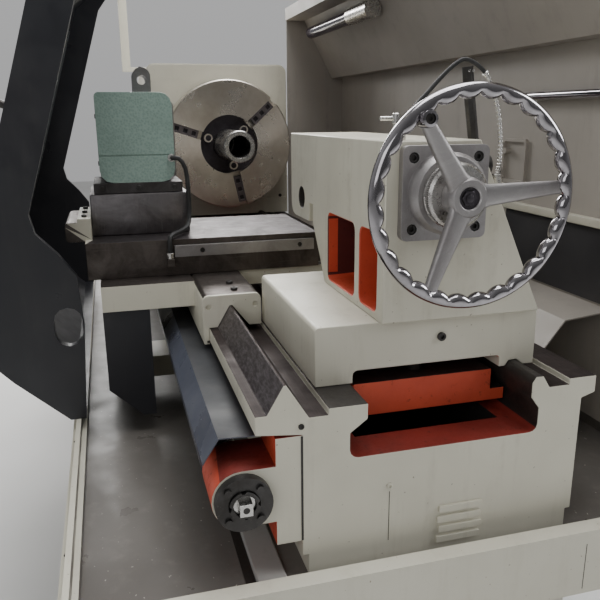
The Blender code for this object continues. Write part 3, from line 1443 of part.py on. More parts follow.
def make_servo(name, axis, centre, face, length, group):
    """A servo motor whose square plate is bolted on at the face and which runs on by the length."""
    way = math.copysign(1, length)
    stops = {
        "plate": (face, face + way * SERVO_PLATE, SERVO_HALF),
        "can": (face + way * SERVO_PLATE / 2, face + length - way * SERVO_BACK / 2, SERVO_NECK_HALF),
        "back": (face + length - way * SERVO_BACK, face + length, SERVO_HALF),
    }
    meshes = []
    for first, last, half in stops.values():
        outline = rounded_box(around(centre[0], half), around(centre[1], half), SERVO_ROUND)
        meshes.append(extruded(axis, (min(first, last), max(first, last)), outline))
    motor = piece(name, meshes[0], MOTOR_BLACK, group)
    join(motor, *meshes[1:])
    return motor


def make_cross_slide():
    skirt = (SLIDE_WAY[0] - WAY_GAP, SLIDE_WAY[1] + WAY_GAP)
    on_way = SLIDE_WAY_TOP + CLEAR
    section = [
        (SLIDE[0], SLIDE_SKIRT),
        (skirt[0], SLIDE_SKIRT),
        (skirt[0], on_way),
        (skirt[1], on_way),
        (skirt[1], SLIDE_SKIRT),
        (SLIDE[1], SLIDE_SKIRT),
        (SLIDE[1], SLIDE_TOP),
        (SLIDE[0], SLIDE_TOP),
    ]
    slide = piece("cross_slide", extruded("Y", (SLIDE_FRONT, SLIDE_REAR), section), STEEL, CROSS)
    cap = fillet(
        [
            (FRONT_BLOCK[1], SLIDE_TOP - OVERRUN),
            (FRONT_BLOCK[1], FRONT_BLOCK_TOP),
            (FRONT_BLOCK[0], FRONT_BLOCK_TOP),
            (FRONT_BLOCK[0], FRONT_CAP_TOP),
            (FRONT_CAP_Y, FRONT_CAP_TOP, FRONT_CAP_ROUND),
            (FRONT_CAP_Y, SLIDE_TOP - OVERRUN, FRONT_CAP_ROUND),
        ]
    )
    join(slide, extruded("X", FRONT_CAP_X, cap))
    port_x = (SLIDE[1] - OVERRUN, SLIDE[1] + HOSE_PORT_DEPTH)
    join(slide, block(port_x, HOSE_PORT_Y, (HOSE_PORT_TOP - HOSE_PORT_HEIGHT, HOSE_PORT_TOP)))
    nut_z = (X_SCREW_Z - X_NUT_HEIGHT, on_way + OVERRUN)
    join(slide, block(around(X_SCREW_X, X_NUT_HALF), X_NUT, nut_z))
    bore = (X_NUT[0] - OVERRUN, X_NUT[1] + OVERRUN)
    cut(slide, rod("Y", (X_SCREW_X, X_SCREW_Z), running(X_SCREW_RADIUS), bore))
    gib_x = (SLIDE[1] + CLEAR, SLIDE[1] + GIB_THICKNESS)
    gib = piece("slide_gib", block(gib_x, GIB, GIB_LEVELS), STEEL, CROSS)
    for y in GIB_SCREWS:
        hole = (gib_x[1] - GIB_THICKNESS / 2, gib_x[1] + OVERRUN)
        cut(gib, rod("X", (y, sum(GIB_LEVELS) / 2), GIB_SCREW_RADIUS, hole))
    rear = X_SCREW_REAR
    front = X_SCREW_FRONT + CLEAR
    centre = (X_SCREW_X, X_SCREW_Z)
    screw = rod("Y", centre, X_SCREW_RADIUS, (front, rear))
    screw = piece("x_ball_screw", screw, STEEL, X_SCREW_AXIS)
    journal = (front - X_SCREW_JOURNAL_LENGTH, rear + X_SCREW_JOURNAL_LENGTH)
    join(screw, rod("Y", centre, X_SCREW_JOURNAL, journal))
    plate = SADDLE_REAR + CLEAR
    motor = make_servo("x_servo_motor", "Y", centre, plate, X_SERVO_LENGTH, CARRIAGE)
    cut(motor, rod("Y", centre, running(X_SCREW_JOURNAL), (plate - OVERRUN, journal[1] + CLEAR)))


def make_turret():
    """Riser, base, housing and a four-station head that turns about a line along the spindle."""
    riser = block(RISER, (RISER_FRONT, RISER_REAR), (SLIDE_TOP + CLEAR, RISER_TOP))
    soften(piece("turret_riser", riser, STEEL, CROSS), TURRET_EDGE)
    base = block(TURRET, (TURRET_BASE_FRONT, TURRET_BASE_REAR), (RISER_TOP + CLEAR, TURRET_BASE_TOP))
    piece("turret_base", base, DARK_STEEL, CROSS)
    section = fillet(
        [
            (TURRET_FRONT, TURRET_BASE_TOP + CLEAR, TURRET_FOOT_ROUND),
            (TURRET_REAR, TURRET_BASE_TOP + CLEAR, TURRET_FOOT_ROUND),
            (TURRET_REAR, TURRET_TOP, TURRET_ROUND),
            (TURRET_FRONT, TURRET_TOP, TURRET_SMALL_ROUND),
        ]
    )
    housing = piece("turret_housing", extruded("X", TURRET, section), GREEN, CROSS)
    seam = block(
        (TURRET[1] - TURRET_SEAM, TURRET[1] + OVERRUN),
        (TURRET_FRONT - OVERRUN, TURRET_REAR + OVERRUN),
        around(TURRET_SEAM_LEVEL, TURRET_SEAM / 2),
    )
    cut(housing, seam)
    head_x = (TURRET[0] - HEAD_GAP - HEAD_LENGTH, TURRET[0] - HEAD_GAP)
    spigot = (head_x[1] - OVERRUN, TURRET[0] + HEAD_SPIGOT / 2)
    centre = (HEAD_Y, HEAD_Z)
    well = (TURRET[0] - OVERRUN, spigot[1] + CLEAR)
    cut(housing, rod("X", centre, running(HEAD_SPIGOT, ROUND_STEPS), well, ROUND_STEPS))
    outline = rounded_box(around(HEAD_Y, HEAD_HALF), around(HEAD_Z, HEAD_HALF), HEAD_CORNER)
    head = piece("turret_head", extruded("X", head_x, outline), STEEL, HEAD_AXIS)
    join(head, rod("X", centre, HEAD_SPIGOT, spigot, ROUND_STEPS))
    slot_x = (head_x[1] - TOOL_SLOT[1], head_x[1] - TOOL_SLOT[0])
    edge = HEAD_HALF + OVERRUN
    deep = HEAD_HALF - TOOL_SLOT_DEPTH
    for side in (-1, 1):
        levels = sorted((side * edge, side * deep))
        flat = (HEAD_Z + levels[0], HEAD_Z + levels[1])
        cut(head, block(slot_x, around(HEAD_Y, edge), flat))
        upright = (HEAD_Y + levels[0], HEAD_Y + levels[1])
        cut(head, block(slot_x, upright, around(HEAD_Z, edge)))
    seat = HEAD_Z + HEAD_HALF + CLEAR
    dome_level = HOLDER_TOP - HOLDER_HALF
    dome = [
        (
            HOLDER_Y + HOLDER_HALF * math.cos(math.pi * step / SMALL_STEPS),
            dome_level + HOLDER_HALF * math.sin(math.pi * step / SMALL_STEPS),
        )
        for step in range(SMALL_STEPS + 1)
    ]
    outline = [(HOLDER_Y - HOLDER_HALF, seat), (HOLDER_Y + HOLDER_HALF, seat), *dome]
    holder_x = (head_x[1] - HOLDER_START - HOLDER_LENGTH, head_x[1] - HOLDER_START)
    holder = piece("boring_bar_holder", extruded("X", holder_x, outline), STEEL, HEAD_AXIS)
    bore = (holder_x[0] - OVERRUN, holder_x[1] + OVERRUN)
    cut(holder, rod("X", (HOLDER_Y, HOLDER_BORE_LEVEL), HOLDER_BORE, bore))
    hose = piped(smooth_route(HOSE_ROUTE, HOSE_POINTS), HOSE_RADIUS)
    piece("coolant_hose", hose, RUBBER, CROSS)


def make_tailstock_base():
    section = [
        (-TAIL_BASE_HALF, ON_WAY),
        (TAIL_CUT_FRONT, ON_WAY),
        (TAIL_CUT_FRONT, TAIL_CUT_LEVEL, TAIL_BASE_ROUND),
        (TAIL_CUT_REAR, TAIL_CUT_LEVEL, TAIL_BASE_ROUND),
        (TAIL_CUT_REAR, ON_WAY),
        *over_inner_vee(ON_WAY),
        (TAIL_BASE_HALF, ON_WAY),
        (TAIL_BASE_HALF, TAIL_BASE_TOP, TAIL_BASE_ROUND),
        (-TAIL_BASE_HALF, TAIL_BASE_TOP, TAIL_BASE_ROUND),
    ]
    piece("tailstock_base", extruded("X", TAIL_BASE, fillet(section)), CREAM, TAIL)
    top = CHANNEL_SHOULDER - CLEAR
    plate = block(CLAMP_PLATE, around(0, CLAMP_PLATE_HALF), (top - CLAMP_PLATE_THICKNESS, top))
    plate = piece("clamp_plate", plate, ORANGE, TAIL)
    guide = (top - CLAMP_PLATE_THICKNESS / 2, CLAMP_GUIDE_TOP)
    join(plate, block(CLAMP_PLATE, around(0, CLAMP_GUIDE_HALF), guide))
    stem = (top - CLAMP_PLATE_THICKNESS / 2, TAIL_CUT_LEVEL - CLEAR)
    middle = sum(CLAMP_PLATE) / 2
    join(plate, block(around(middle, CLAMP_STEM_HALF), around(0, CLAMP_STEM_HALF), stem))
    for x in CLAMP_PLATE:
        inward = x + math.copysign(CLAMP_STEM_HALF, middle - x)
        bolt = (top - CLAMP_PLATE_THICKNESS - CLAMP_BOLT_RADIUS, TAIL_CUT_LEVEL - CLEAR)
        join(plate, rod("Z", (inward, 0), CLAMP_BOLT_RADIUS, bolt))


def make_tailstock_body():
    """A casting whose side view and end view are crossed, with windows into its pedestal."""
    seat = TAIL_BASE_TOP + CLEAR
    side = fillet(
        [
            (TAIL_FACE, seat),
            (TAIL_FACE, TAIL_TOP),
            (TAIL_NOSE, TAIL_TOP),
            (TAIL_NOSE, NOSE_LEVEL, NOSE_ROUND),
            (NOSE_START, NOSE_LEVEL, TAIL_BASE_ROUND),
            (NOSE_START, TAIL_BARREL_LEVEL),
            (NOSE_HEEL, TAIL_BARREL_LEVEL),
            (NOSE_HEEL, NOSE_LEVEL),
            (PEDESTAL_FRONT_KNEE_X, PEDESTAL_FRONT_KNEE_Z),
            (PEDESTAL_FRONT_FOOT_X, seat),
        ]
    )
    across = (TAIL_LEFT - OVERRUN, TAIL_FOOT_REAR + OVERRUN)
    body = piece("tailstock_body", extruded("Y", across, side), CREAM, TAIL)
    end = [
        (TAIL_LEFT, seat - OVERRUN),
        (TAIL_LEFT, TAIL_TOP + OVERRUN),
        (TAIL_TOP_RIGHT, TAIL_TOP + OVERRUN),
        (TAIL_TOP_RIGHT, TAIL_TOP),
        (TAIL_SHOULDER_Y, TAIL_SHOULDER_Z),
        (TAIL_HIP_Y, TAIL_HIP_Z),
        (TAIL_FOOT_REAR, seat - OVERRUN),
    ]
    shape(body, extruded("X", (TAIL_NOSE - OVERRUN, TAIL_FACE + OVERRUN), end), "INTERSECT")
    nose_side = block(
        (TAIL_NOSE - OVERRUN, NOSE_NECK),
        (NOSE_REAR, TAIL_FOOT_REAR + OVERRUN),
        (seat - OVERRUN, TAIL_SHOULDER_Z),
    )
    cut(body, nose_side)
    for window in WINDOWS:
        outline = rounded_box(window, (WINDOW_BOTTOM, WINDOW_TOP), WINDOW_ROUND)
        cut(body, extruded("Y", (TAIL_LEFT - OVERRUN, WINDOW_REAR), outline))
    hole = (TAIL_LEFT - OVERRUN, TAIL_LEFT + NOSE_HOLE_DEPTH)
    cut(body, rod("Y", (NOSE_HOLE_X, NOSE_HOLE_Z), NOSE_HOLE_RADIUS, hole))
    soften(body, TAIL_EDGE, 1)
    lever_z = LEVER_AXIS.location.z + TAIL.location.z
    boss = (TAIL_TOP_RIGHT, LEVER_Y - LEVER_HUB_HALF - CLEAR)
    join(body, rod("Y", (LEVER_X, lever_z), LEVER_BOSS_RADIUS, boss))
    socket = CONDUIT_ROUTE[-1]
    join(body, rod("Z", socket[:2], CONDUIT_SOCKET_RADIUS, CONDUIT_SOCKET))
    quill_end = QUILL[1] + QUILL_RADIUS / 2
    cut(body, rod("X", (0, 0), QUILL_RADIUS + CLEAR, (TAIL_NOSE - OVERRUN, quill_end), ROUND_STEPS))
    cut(body, rod("X", (0, 0), running(TAIL_SCREW_RADIUS), (quill_end - OVERRUN, TAIL_FACE + OVERRUN)))


def make_quill():
    deep = QUILL[1] - QUILL_SCREW_DEPTH
    taper = QUILL[0] + CENTRE_SHANK_LENGTH + OVERRUN
    profile = [
        (0, deep),
        (QUILL_SCREW_BORE, deep),
        (QUILL_SCREW_BORE, QUILL[1]),
        (QUILL_RADIUS, QUILL[1]),
        (QUILL_RADIUS, QUILL[0]),
        (QUILL_SOCKET, QUILL[0]),
        (QUILL_SOCKET, taper),
        (0, taper),
    ]
    piece("quill", turned(profile, closed=False), STEEL, QUILL_AXIS)
    face = QUILL[0] - CLEAR
    centre = [
        (0, QUILL[0] + CENTRE_SHANK_LENGTH),
        (CENTRE_SHANK + CLEAR / 2, QUILL[0] + CENTRE_SHANK_LENGTH),
        (CENTRE_SHANK + CLEAR / 2, face),
        (CENTRE_RADIUS, face),
        (CENTRE_RADIUS, face - CENTRE_BODY),
        (0, face - CENTRE_BODY - CENTRE_TIP),
    ]
    piece("tailstock_centre", turned(centre, closed=False), STEEL, QUILL_AXIS)


def make_tailstock_cap():
    span = (TAIL_FACE + CLEAR, TAIL_FACE + CLEAR + FLANGE_THICKNESS)
    outline = rounded_box(around(0, FLANGE_HALF), around(0, FLANGE_HALF), FLANGE_ROUND)
    cap = piece("tailstock_cap", extruded("X", span, outline), STEEL, TAIL)
    boss_end = span[1] + BOSS_LENGTH + BOSS_CONE
    boss = [
        (0, boss_end),
        (BOSS_CONE_RADIUS, boss_end),
        (BOSS_OUTER, boss_end - BOSS_CONE),
        (BOSS_OUTER, span[1] - OVERRUN),
        (0, span[1] - OVERRUN),
    ]
    join(cap, turned(boss, closed=False))
    bore = (span[0] - OVERRUN, boss_end + OVERRUN)
    cut(cap, rod("X", (0, 0), running(TAIL_SCREW_RADIUS), bore))
    for y in (-FLANGE_BOLT, FLANGE_BOLT):
        for z in (-FLANGE_BOLT, FLANGE_BOLT):
            hole = (span[1] - FLANGE_BOLT_DEPTH, span[1] + OVERRUN)
            cut(cap, rod("X", (y, z), FLANGE_BOLT_HOLE, hole))
    return boss_end


def make_handwheel(boss_end):
    """Screw, graduated collar and a wheel with three spokes and a scalloped rim."""
    bore = TAIL_SCREW_RADIUS + CLEAR
    collar = (boss_end + CLEAR, boss_end + CLEAR + COLLAR_LENGTH)
    profile = [
        (COLLAR_RADIUS - COLLAR_CHAMFER, collar[1]),
        (COLLAR_RADIUS, collar[1] - COLLAR_CHAMFER),
        (COLLAR_RADIUS, collar[0]),
        (bore, collar[0]),
        (bore, collar[1]),
    ]
    piece("graduated_collar", turned(profile), STEEL, WHEEL_AXIS)
    hub = (collar[1] + CLEAR, collar[1] + CLEAR + HUB_LENGTH)
    recess = hub[1] - HUB_RECESS_DEPTH
    profile = [
        (HUB_RECESS, hub[1]),
        (HUB_RADIUS, hub[1]),
        (HUB_RADIUS, hub[0]),
        (bore, hub[0]),
        (bore, recess),
        (HUB_RECESS, recess),
    ]
    wheel = piece("handwheel", turned(profile), CHROME, WHEEL_AXIS)
    for angle in SPOKE_ANGLES:
        bar = [
            (SPOKE_START, -SPOKE_HUB_HALF),
            (WHEEL_RADIUS, -SPOKE_RIM_HALF),
            (WHEEL_RADIUS, SPOKE_RIM_HALF),
            (SPOKE_START, SPOKE_HUB_HALF),
        ]
        join(wheel, turned_about_spindle(extruded("X", SPOKE, bar), angle))
    places = []
    sizes = []
    count = 2 * WHEEL_SCALLOPS
    for step in range(count):
        angle = 2 * math.pi * step / count
        dent = WHEEL_SCALLOP * (1 - math.cos(WHEEL_SCALLOPS * angle)) / 2
        radius = WHEEL_RADIUS + dent / 2
        places.append((WHEEL_PLANE, radius * math.cos(angle), radius * math.sin(angle)))
        sizes.append(1 - dent / (2 * WHEEL_RIM))
    join(wheel, ring_pipe(places, sizes, WHEEL_RIM))
    grip = SPOKE_ANGLES[1]
    reach = WHEEL_RADIUS - GRIP_BOSS_INSET
    centre = (reach * math.cos(grip), reach * math.sin(grip))
    join(wheel, rod("X", centre, GRIP_BOSS_RADIUS, GRIP_BOSS))
    cut(wheel, rod("X", centre, GRIP_HOLE, (GRIP_BOSS[1] - GRIP_HOLE_DEPTH, GRIP_BOSS[1] + OVERRUN)))
    screw_end = recess + HUB_RECESS_DEPTH * SCREW_END_SHARE
    screw = rod("X", (0, 0), TAIL_SCREW_RADIUS, (TAIL_SCREW_START, screw_end))
    piece("tailstock_screw", screw, DARK_STEEL, WHEEL_AXIS)


def ring_pipe(places, sizes, radius):
    curve = bpy.data.curves.new("ring", "CURVE")
    curve.dimensions = "3D"
    curve.bevel_depth = radius
    curve.bevel_resolution = 2
    spline = curve.splines.new("POLY")
    spline.points.add(len(places) - 1)
    for point, place, size in zip(spline.points, places, sizes):
        point.co = (*place, 1)
        point.radius = size
    spline.use_cyclic_u = True
    return mesh_of(bpy.data.objects.new("ring", curve))


def make_clamp_lever():
    lever_z = LEVER_AXIS.location.z + TAIL.location.z
    hub = around(LEVER_Y, LEVER_HUB_HALF)
    lever = rod("Y", (LEVER_X, lever_z), LEVER_HUB_RADIUS, hub)
    lever = piece("clamp_lever", lever, DARK_STEEL, LEVER_AXIS)
    places = [(LEVER_X, LEVER_Y + out, lever_z + up) for out, up in LEVER_BENDS]
    join(lever, piped(places, LEVER_RADIUS))
    conduit = piped(smooth_route(CONDUIT_ROUTE, CONDUIT_POINTS), CONDUIT_RADIUS)
    piece("tailstock_conduit", conduit, DARK_STEEL, TAIL)


def make_rear_guard():
    foot = PAN_RIM_LEVEL + CLEAR
    profile = [
        (WALL_FOOT, foot),
        (WALL_Y, foot),
        (WALL_Y, HOOD_TOP),
        (HOOD_LIP_Y, HOOD_TOP),
        (HOOD_LIP_Y, HOOD_KNEE_Z),
        (HOOD_KNEE_Y, HOOD_KNEE_Z),
        (HOOD_EDGE_Y, HOOD_EDGE_Z),
        (WALL_Y - WAY_GAP, HOOD_EDGE_Z),
    ]
    guard = extruded("X", GUARD, folded(profile, -SHEET))
    guard = piece("rear_guard", guard, GREY_SHEET, LATHE)
    end_panel = block(
        (GUARD[0], GUARD[0] + SHEET), (HOOD_LIP_Y, WALL_Y + SHEET / 2), (foot + SHEET, HOOD_TOP - SHEET / 2)
    )
    join(guard, end_panel)
    outer = rounded_box(HATCH_X, HATCH_Z, HATCH_RIM)
    inner = rounded_box(
        (HATCH_X[0] + HATCH_RIM, HATCH_X[1] - HATCH_RIM),
        (HATCH_Z[0] + HATCH_RIM, HATCH_Z[1] - HATCH_RIM),
        HATCH_RIM / 2,
    )
    join(guard, extruded("Y", (WALL_Y - HATCH_DEPTH, WALL_Y + SHEET / 2), outer, inner))
    knob = (HATCH_X[0] + 3 * HATCH_RIM, HATCH_Z[1] - 4 * HATCH_RIM)
    join(guard, rod("Y", knob, HATCH_KNOB, (WALL_Y - 2 * HATCH_DEPTH, WALL_Y + SHEET / 2)))
    strip = [
        (WALL_Y + SHEET / 2, DEFLECTOR_WALL_Z),
        (DEFLECTOR_Y, DEFLECTOR_Z),
        (DEFLECTOR_FOOT_Y, DEFLECTOR_FOOT_Z),
    ]
    join(guard, extruded("X", (GUARD[0] + SHEET, DEFLECTOR_END), folded(strip, SHEET)))


def make_lamp():
    edge = Vector((HOOD_EDGE_Y, HOOD_EDGE_Z))
    knee = Vector((HOOD_KNEE_Y, HOOD_KNEE_Z))
    down = (edge - knee).normalized()
    inward = Vector((down.y, -down.x))
    if inward.y > 0:
        inward = -inward
    centre = knee + (edge - knee) * LAMP_SHARE + inward * LAMP_DROP
    lamp = rod("X", centre, LAMP_RADIUS, (LAMP[0], LAMP[1] + OVERRUN))
    lamp = piece("hood_lamp", lamp, GLASS, LATHE)
    socket = (LAMP[1], LAMP[1] + LAMP_SOCKET)
    join(lamp, rod("X", centre, LAMP_SOCKET_RADIUS, socket))
    seat = centre - inward * (LAMP_DROP - SHEET - CLEAR)
    middle = sum(socket) / 2
    post = piped([(middle, *centre), (middle, *seat)], LAMP_BRACKET_HALF)
    join(lamp, post)
    pipe = piece("wall_pipe", rod("X", (PIPE_Y, PIPE_Z), PIPE_RADIUS, PIPE), CHROME, LATHE)
    for x in PIPE_CLIPS:
        clip = block(around(x, PIPE_CLIP_HALF), (PIPE_Y, WALL_Y - CLEAR), around(PIPE_Z, PIPE_CLIP_HALF))
        join(pipe, clip)


def make_door():
    """A folded skin between two end ribs, with a window and a finger slot in each rib."""
    section = [*DOOR_SKIN, *DOOR_INNER]
    door = piece("sliding_door", extruded("X", DOOR, section), DARK_SHEET, DOOR_SLIDE)
    inner = folded(DOOR_SKIN, -SHEET)[len(DOOR_SKIN) :]
    top = (inner[0][0], DOOR_SKIN[-1][1] + OVERRUN)
    foot = (FRAME_RAIL_FRONT, inner[-1][1])
    hollow = [top, *inner[1:-1], foot, (FRAME_RAIL_FRONT, top[1])]
    hollow_x = (DOOR[0] + DOOR_RIB, DOOR[1] - DOOR_RIB)
    cut(door, extruded("X", hollow_x, hollow))
    for span in ((DOOR[0], hollow_x[0]), (hollow_x[1], DOOR[1])):
        slot = rounded_box(around(DOOR_SLOT_Y, DOOR_SLOT_HALF), DOOR_SLOT_Z, DOOR_SLOT_HALF * ROUND_SHARE)
        cut(door, extruded("X", (span[0] - OVERRUN, span[1] + OVERRUN), slot))
    front = min(y for y, _ in DOOR_SKIN) - OVERRUN
    cut(door, block(DOOR_WINDOW_X, (front, DOOR_INNER[4][0]), DOOR_WINDOW_Z))
    low = Vector(DOOR_SKIN[4])
    high = Vector(DOOR_SKIN[5])
    way = (high - low).normalized()
    inward = Vector((way.y, -way.x))

    def on_skin(level, depth):
        along = (level - low.y) / (high.y - low.y)
        return tuple(low + (high - low) * along + inward * depth)

    levels = (DOOR_WINDOW_Z[0] - PANE_LAP, DOOR_WINDOW_Z[1] + PANE_LAP)
    near = SHEET + CLEAR
    far = near + PANE_THICKNESS
    outline = [on_skin(levels[0], near), on_skin(levels[1], near), on_skin(levels[1], far)]
    outline.append(on_skin(levels[0], far))
    pane_x = (DOOR_WINDOW_X[0] - PANE_LAP, DOOR_WINDOW_X[1] + PANE_LAP)
    piece("door_window", extruded("X", pane_x, outline), GLASS, DOOR_SLIDE)


def make_canopy_frame():
    """A square tube along the door's upper edge, on a post at the headstock and an arm at the tail."""
    rail_y = (FRAME_RAIL_FRONT, FRAME_RAIL_FRONT + FRAME_TUBE)
    rail_z = (FRAME_RAIL_BOTTOM, FRAME_RAIL_BOTTOM + FRAME_TUBE)
    frame = piece("canopy_frame", block((FRAME_HEAD, FRAME_TAIL), rail_y, rail_z), CREAM, LATHE)
    post_x = (FRAME_HEAD, FRAME_HEAD + FRAME_TUBE)
    foot_z = HEADSTOCK_TOP + CLEAR
    post_y = (FRAME_POST_FRONT, FRAME_POST_FRONT + FRAME_TUBE)
    join(frame, block(post_x, post_y, (foot_z, rail_z[0] + FRAME_TUBE / 2)))
    foot_y = (FRAME_POST_FRONT, FRAME_FOOT_REAR)
    join(frame, block(post_x, foot_y, (foot_z, foot_z + FRAME_TUBE / 2)))
    arm_x = (FRAME_TAIL - FRAME_TUBE, FRAME_TAIL)
    join(frame, block(arm_x, (rail_y[1] - OVERRUN, FRAME_LEG_REAR), rail_z))
    leg_y = (FRAME_LEG_REAR - FRAME_TUBE, FRAME_LEG_REAR)
    join(frame, block(arm_x, leg_y, (HOOD_TOP + SHEET + CLEAR, rail_z[0] + OVERRUN)))


def make_controls():
    rear = HEADSTOCK_FRONT - CLEAR
    section = fillet(
        [
            (CONTROL_FRONT, CONTROL_LEVELS[0], CONTROL_ROUND),
            (rear, CONTROL_LEVELS[0]),
            (rear, CONTROL_LEVELS[1]),
            (CONTROL_FRONT, CONTROL_LEVELS[1], CONTROL_ROUND),
        ]
    )
    panel = piece("control_panel", extruded("X", CONTROL_BOX, section), GREY_SHEET, LATHE)
    cut(panel, block(SCREEN_X, (CONTROL_FRONT - OVERRUN, CONTROL_FRONT + PANEL_SINK), SCREEN_Z))
    centre = (STOP_X, STOP_Z)
    face = CONTROL_FRONT - STOP_COLLAR
    join(panel, rod("Y", centre, STOP_COLLAR_RADIUS, (face, CONTROL_FRONT + PANEL_SINK)))
    stem_end = CONTROL_FRONT + 2 * STOP_COLLAR
    well = (face - OVERRUN, stem_end + STOP_TRAVEL + CLEAR)
    cut(panel, rod("Y", centre, STOP_STEM + CLEAR, well))
    under = face - CLEAR - STOP_TRAVEL
    button = rod("Y", centre, STOP_RADIUS, (under - STOP_HEIGHT, under))
    button = piece("stop_button", button, RED, STOP_AXIS)
    join(button, rod("Y", centre, STOP_STEM, (under - OVERRUN, stem_end)))


def make_cabinet():
    y = (PAN_REAR + CLEAR, PAN_REAR + CLEAR + CABINET_DEPTH)
    outline = rounded_box(CABINET, y, CABINET_ROUND)
    body = extruded("Z", (FLOOR + CABINET_PLINTH, CABINET_TOP), outline)
    cabinet = piece("electrical_cabinet", body, CREAM, LATHE)
    inset = CABINET_PLINTH / 2
    plinth = block(
        (CABINET[0] + inset, CABINET[1] - inset),
        (y[0] + inset, y[1] - inset),
        (FLOOR, FLOOR + 2 * inset + OVERRUN),
    )
    join(cabinet, plinth)
    door_z = (FLOOR + 2 * CABINET_PLINTH, CABINET_TOP - CABINET_PLINTH)
    door_x = (CABINET[0] + CABINET_PLINTH, CABINET[1] - CABINET_PLINTH)
    cut(cabinet, block(door_x, (y[1] - CABINET_DOOR_RECESS, y[1] + OVERRUN), door_z))


def make_tank():
    """A closed tank with a lapped lid and an upright coolant pump."""
    y = (TANK_FRONT, TANK_REAR)
    body = block(TANK, y, (FLOOR, TANK_TOP))
    tank = piece("coolant_tank", body, CREAM, LATHE)
    lid = block(
        (TANK[0] - TANK_LID_LAP, TANK[1] + TANK_LID_LAP),
        (y[0] - TANK_LID_LAP, y[1] + TANK_LID_LAP),
        (TANK_TOP - TANK_LID, TANK_TOP + TANK_LID),
    )
    join(tank, lid)
    skid = block(
        (TANK[0] + TANK_SKID, TANK[1] - TANK_SKID),
        (y[0] - OVERRUN, y[1] + OVERRUN),
        (FLOOR - OVERRUN, FLOOR + TANK_SKID),
    )
    cut(tank, skid)
    lid_top = TANK_TOP + TANK_LID
    plate_z = (lid_top - OVERRUN, lid_top + PUMP_PLATE_HEIGHT)
    join(tank, block(around(PUMP_X, PUMP_PLATE), around(PUMP_Y, PUMP_PLATE), plate_z))
    join(tank, rod("Z", (PUMP_X, PUMP_Y), PUMP_RADIUS, (lid_top, PUMP_TOP)))


make_bed()
make_pan()
make_pedestal("tail_pedestal", TAIL_PEDESTAL)
head_pedestal = make_pedestal("head_pedestal", HEAD_PEDESTAL)
make_headstock()
make_spindle()
make_drive()
make_chuck()
make_saddle()
make_apron()
make_long_screw()
make_cross_slide()
make_turret()
make_tailstock_base()
make_tailstock_body()
make_quill()
make_handwheel(make_tailstock_cap())
make_clamp_lever()
make_rear_guard()
make_lamp()
make_door()
make_canopy_frame()
make_controls()
make_cabinet()
make_tank()

shelf_top = -MOTOR_DROP - MOTOR_RADIUS - MOTOR_FIN - CLEAR
shelf = block(
    (HEAD_PEDESTAL[0] + PEDESTAL_WALL / 2, MOTOR[1] + PEDESTAL_WALL),
    (PEDESTAL_FRONT + PEDESTAL_WALL / 2, PEDESTAL_REAR - PEDESTAL_WALL / 2),
    (shelf_top - PEDESTAL_WALL, shelf_top),
)
join(head_pedestal, shelf)
port = (HEAD_PEDESTAL[0] - OVERRUN, HEAD_PEDESTAL[0] + PEDESTAL_WALL + OVERRUN)
cut(head_pedestal, rod("X", (0, -MOTOR_DROP), MOTOR_PULLEY_RADIUS, port, ROUND_STEPS))
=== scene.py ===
import math
from itertools import product

import bmesh
import bpy
from mathutils import Matrix, Vector


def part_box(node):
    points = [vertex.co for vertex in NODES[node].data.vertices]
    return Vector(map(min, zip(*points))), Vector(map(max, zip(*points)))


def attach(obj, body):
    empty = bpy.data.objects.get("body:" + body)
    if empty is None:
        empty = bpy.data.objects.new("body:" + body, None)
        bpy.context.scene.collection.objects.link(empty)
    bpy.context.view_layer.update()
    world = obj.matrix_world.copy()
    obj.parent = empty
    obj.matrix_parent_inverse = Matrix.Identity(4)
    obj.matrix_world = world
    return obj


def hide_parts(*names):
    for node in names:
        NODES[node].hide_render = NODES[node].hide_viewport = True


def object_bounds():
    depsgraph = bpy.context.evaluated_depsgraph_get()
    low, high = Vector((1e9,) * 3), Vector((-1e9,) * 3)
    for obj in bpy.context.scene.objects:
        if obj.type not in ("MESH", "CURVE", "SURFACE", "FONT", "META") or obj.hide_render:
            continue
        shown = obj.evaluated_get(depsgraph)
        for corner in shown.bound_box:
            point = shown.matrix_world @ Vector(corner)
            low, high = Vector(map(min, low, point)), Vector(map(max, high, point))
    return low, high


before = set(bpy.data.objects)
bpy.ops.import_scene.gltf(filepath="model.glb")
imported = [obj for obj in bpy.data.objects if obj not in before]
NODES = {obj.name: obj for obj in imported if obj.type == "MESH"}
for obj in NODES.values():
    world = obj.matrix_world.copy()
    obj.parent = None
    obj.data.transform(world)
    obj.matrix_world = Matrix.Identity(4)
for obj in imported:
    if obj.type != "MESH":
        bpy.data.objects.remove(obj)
cad_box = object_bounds()

# The lathe's own lines, in metres: X along the spindle, 0 at the bed's tail face; Y to the rear; Z up.
# The spindle's axis is Y 0, Z 0.
LINES = Vector((1.4315, -0.02965, 1.130))
CLEAR = 0.0003
TAU = 2 * math.pi

# ---- camera

# Solved from the photograph: where it stood, how it was turned, in radians, and its lens.
CAMERA_PLACE = Vector((2.34845, -0.53631, 1.24993))
YAW, PITCH, ROLL = 0.2705, 0.2657, 0.0079
LENS, SENSOR = 40.86, 36.0
NEAREST = 0.02


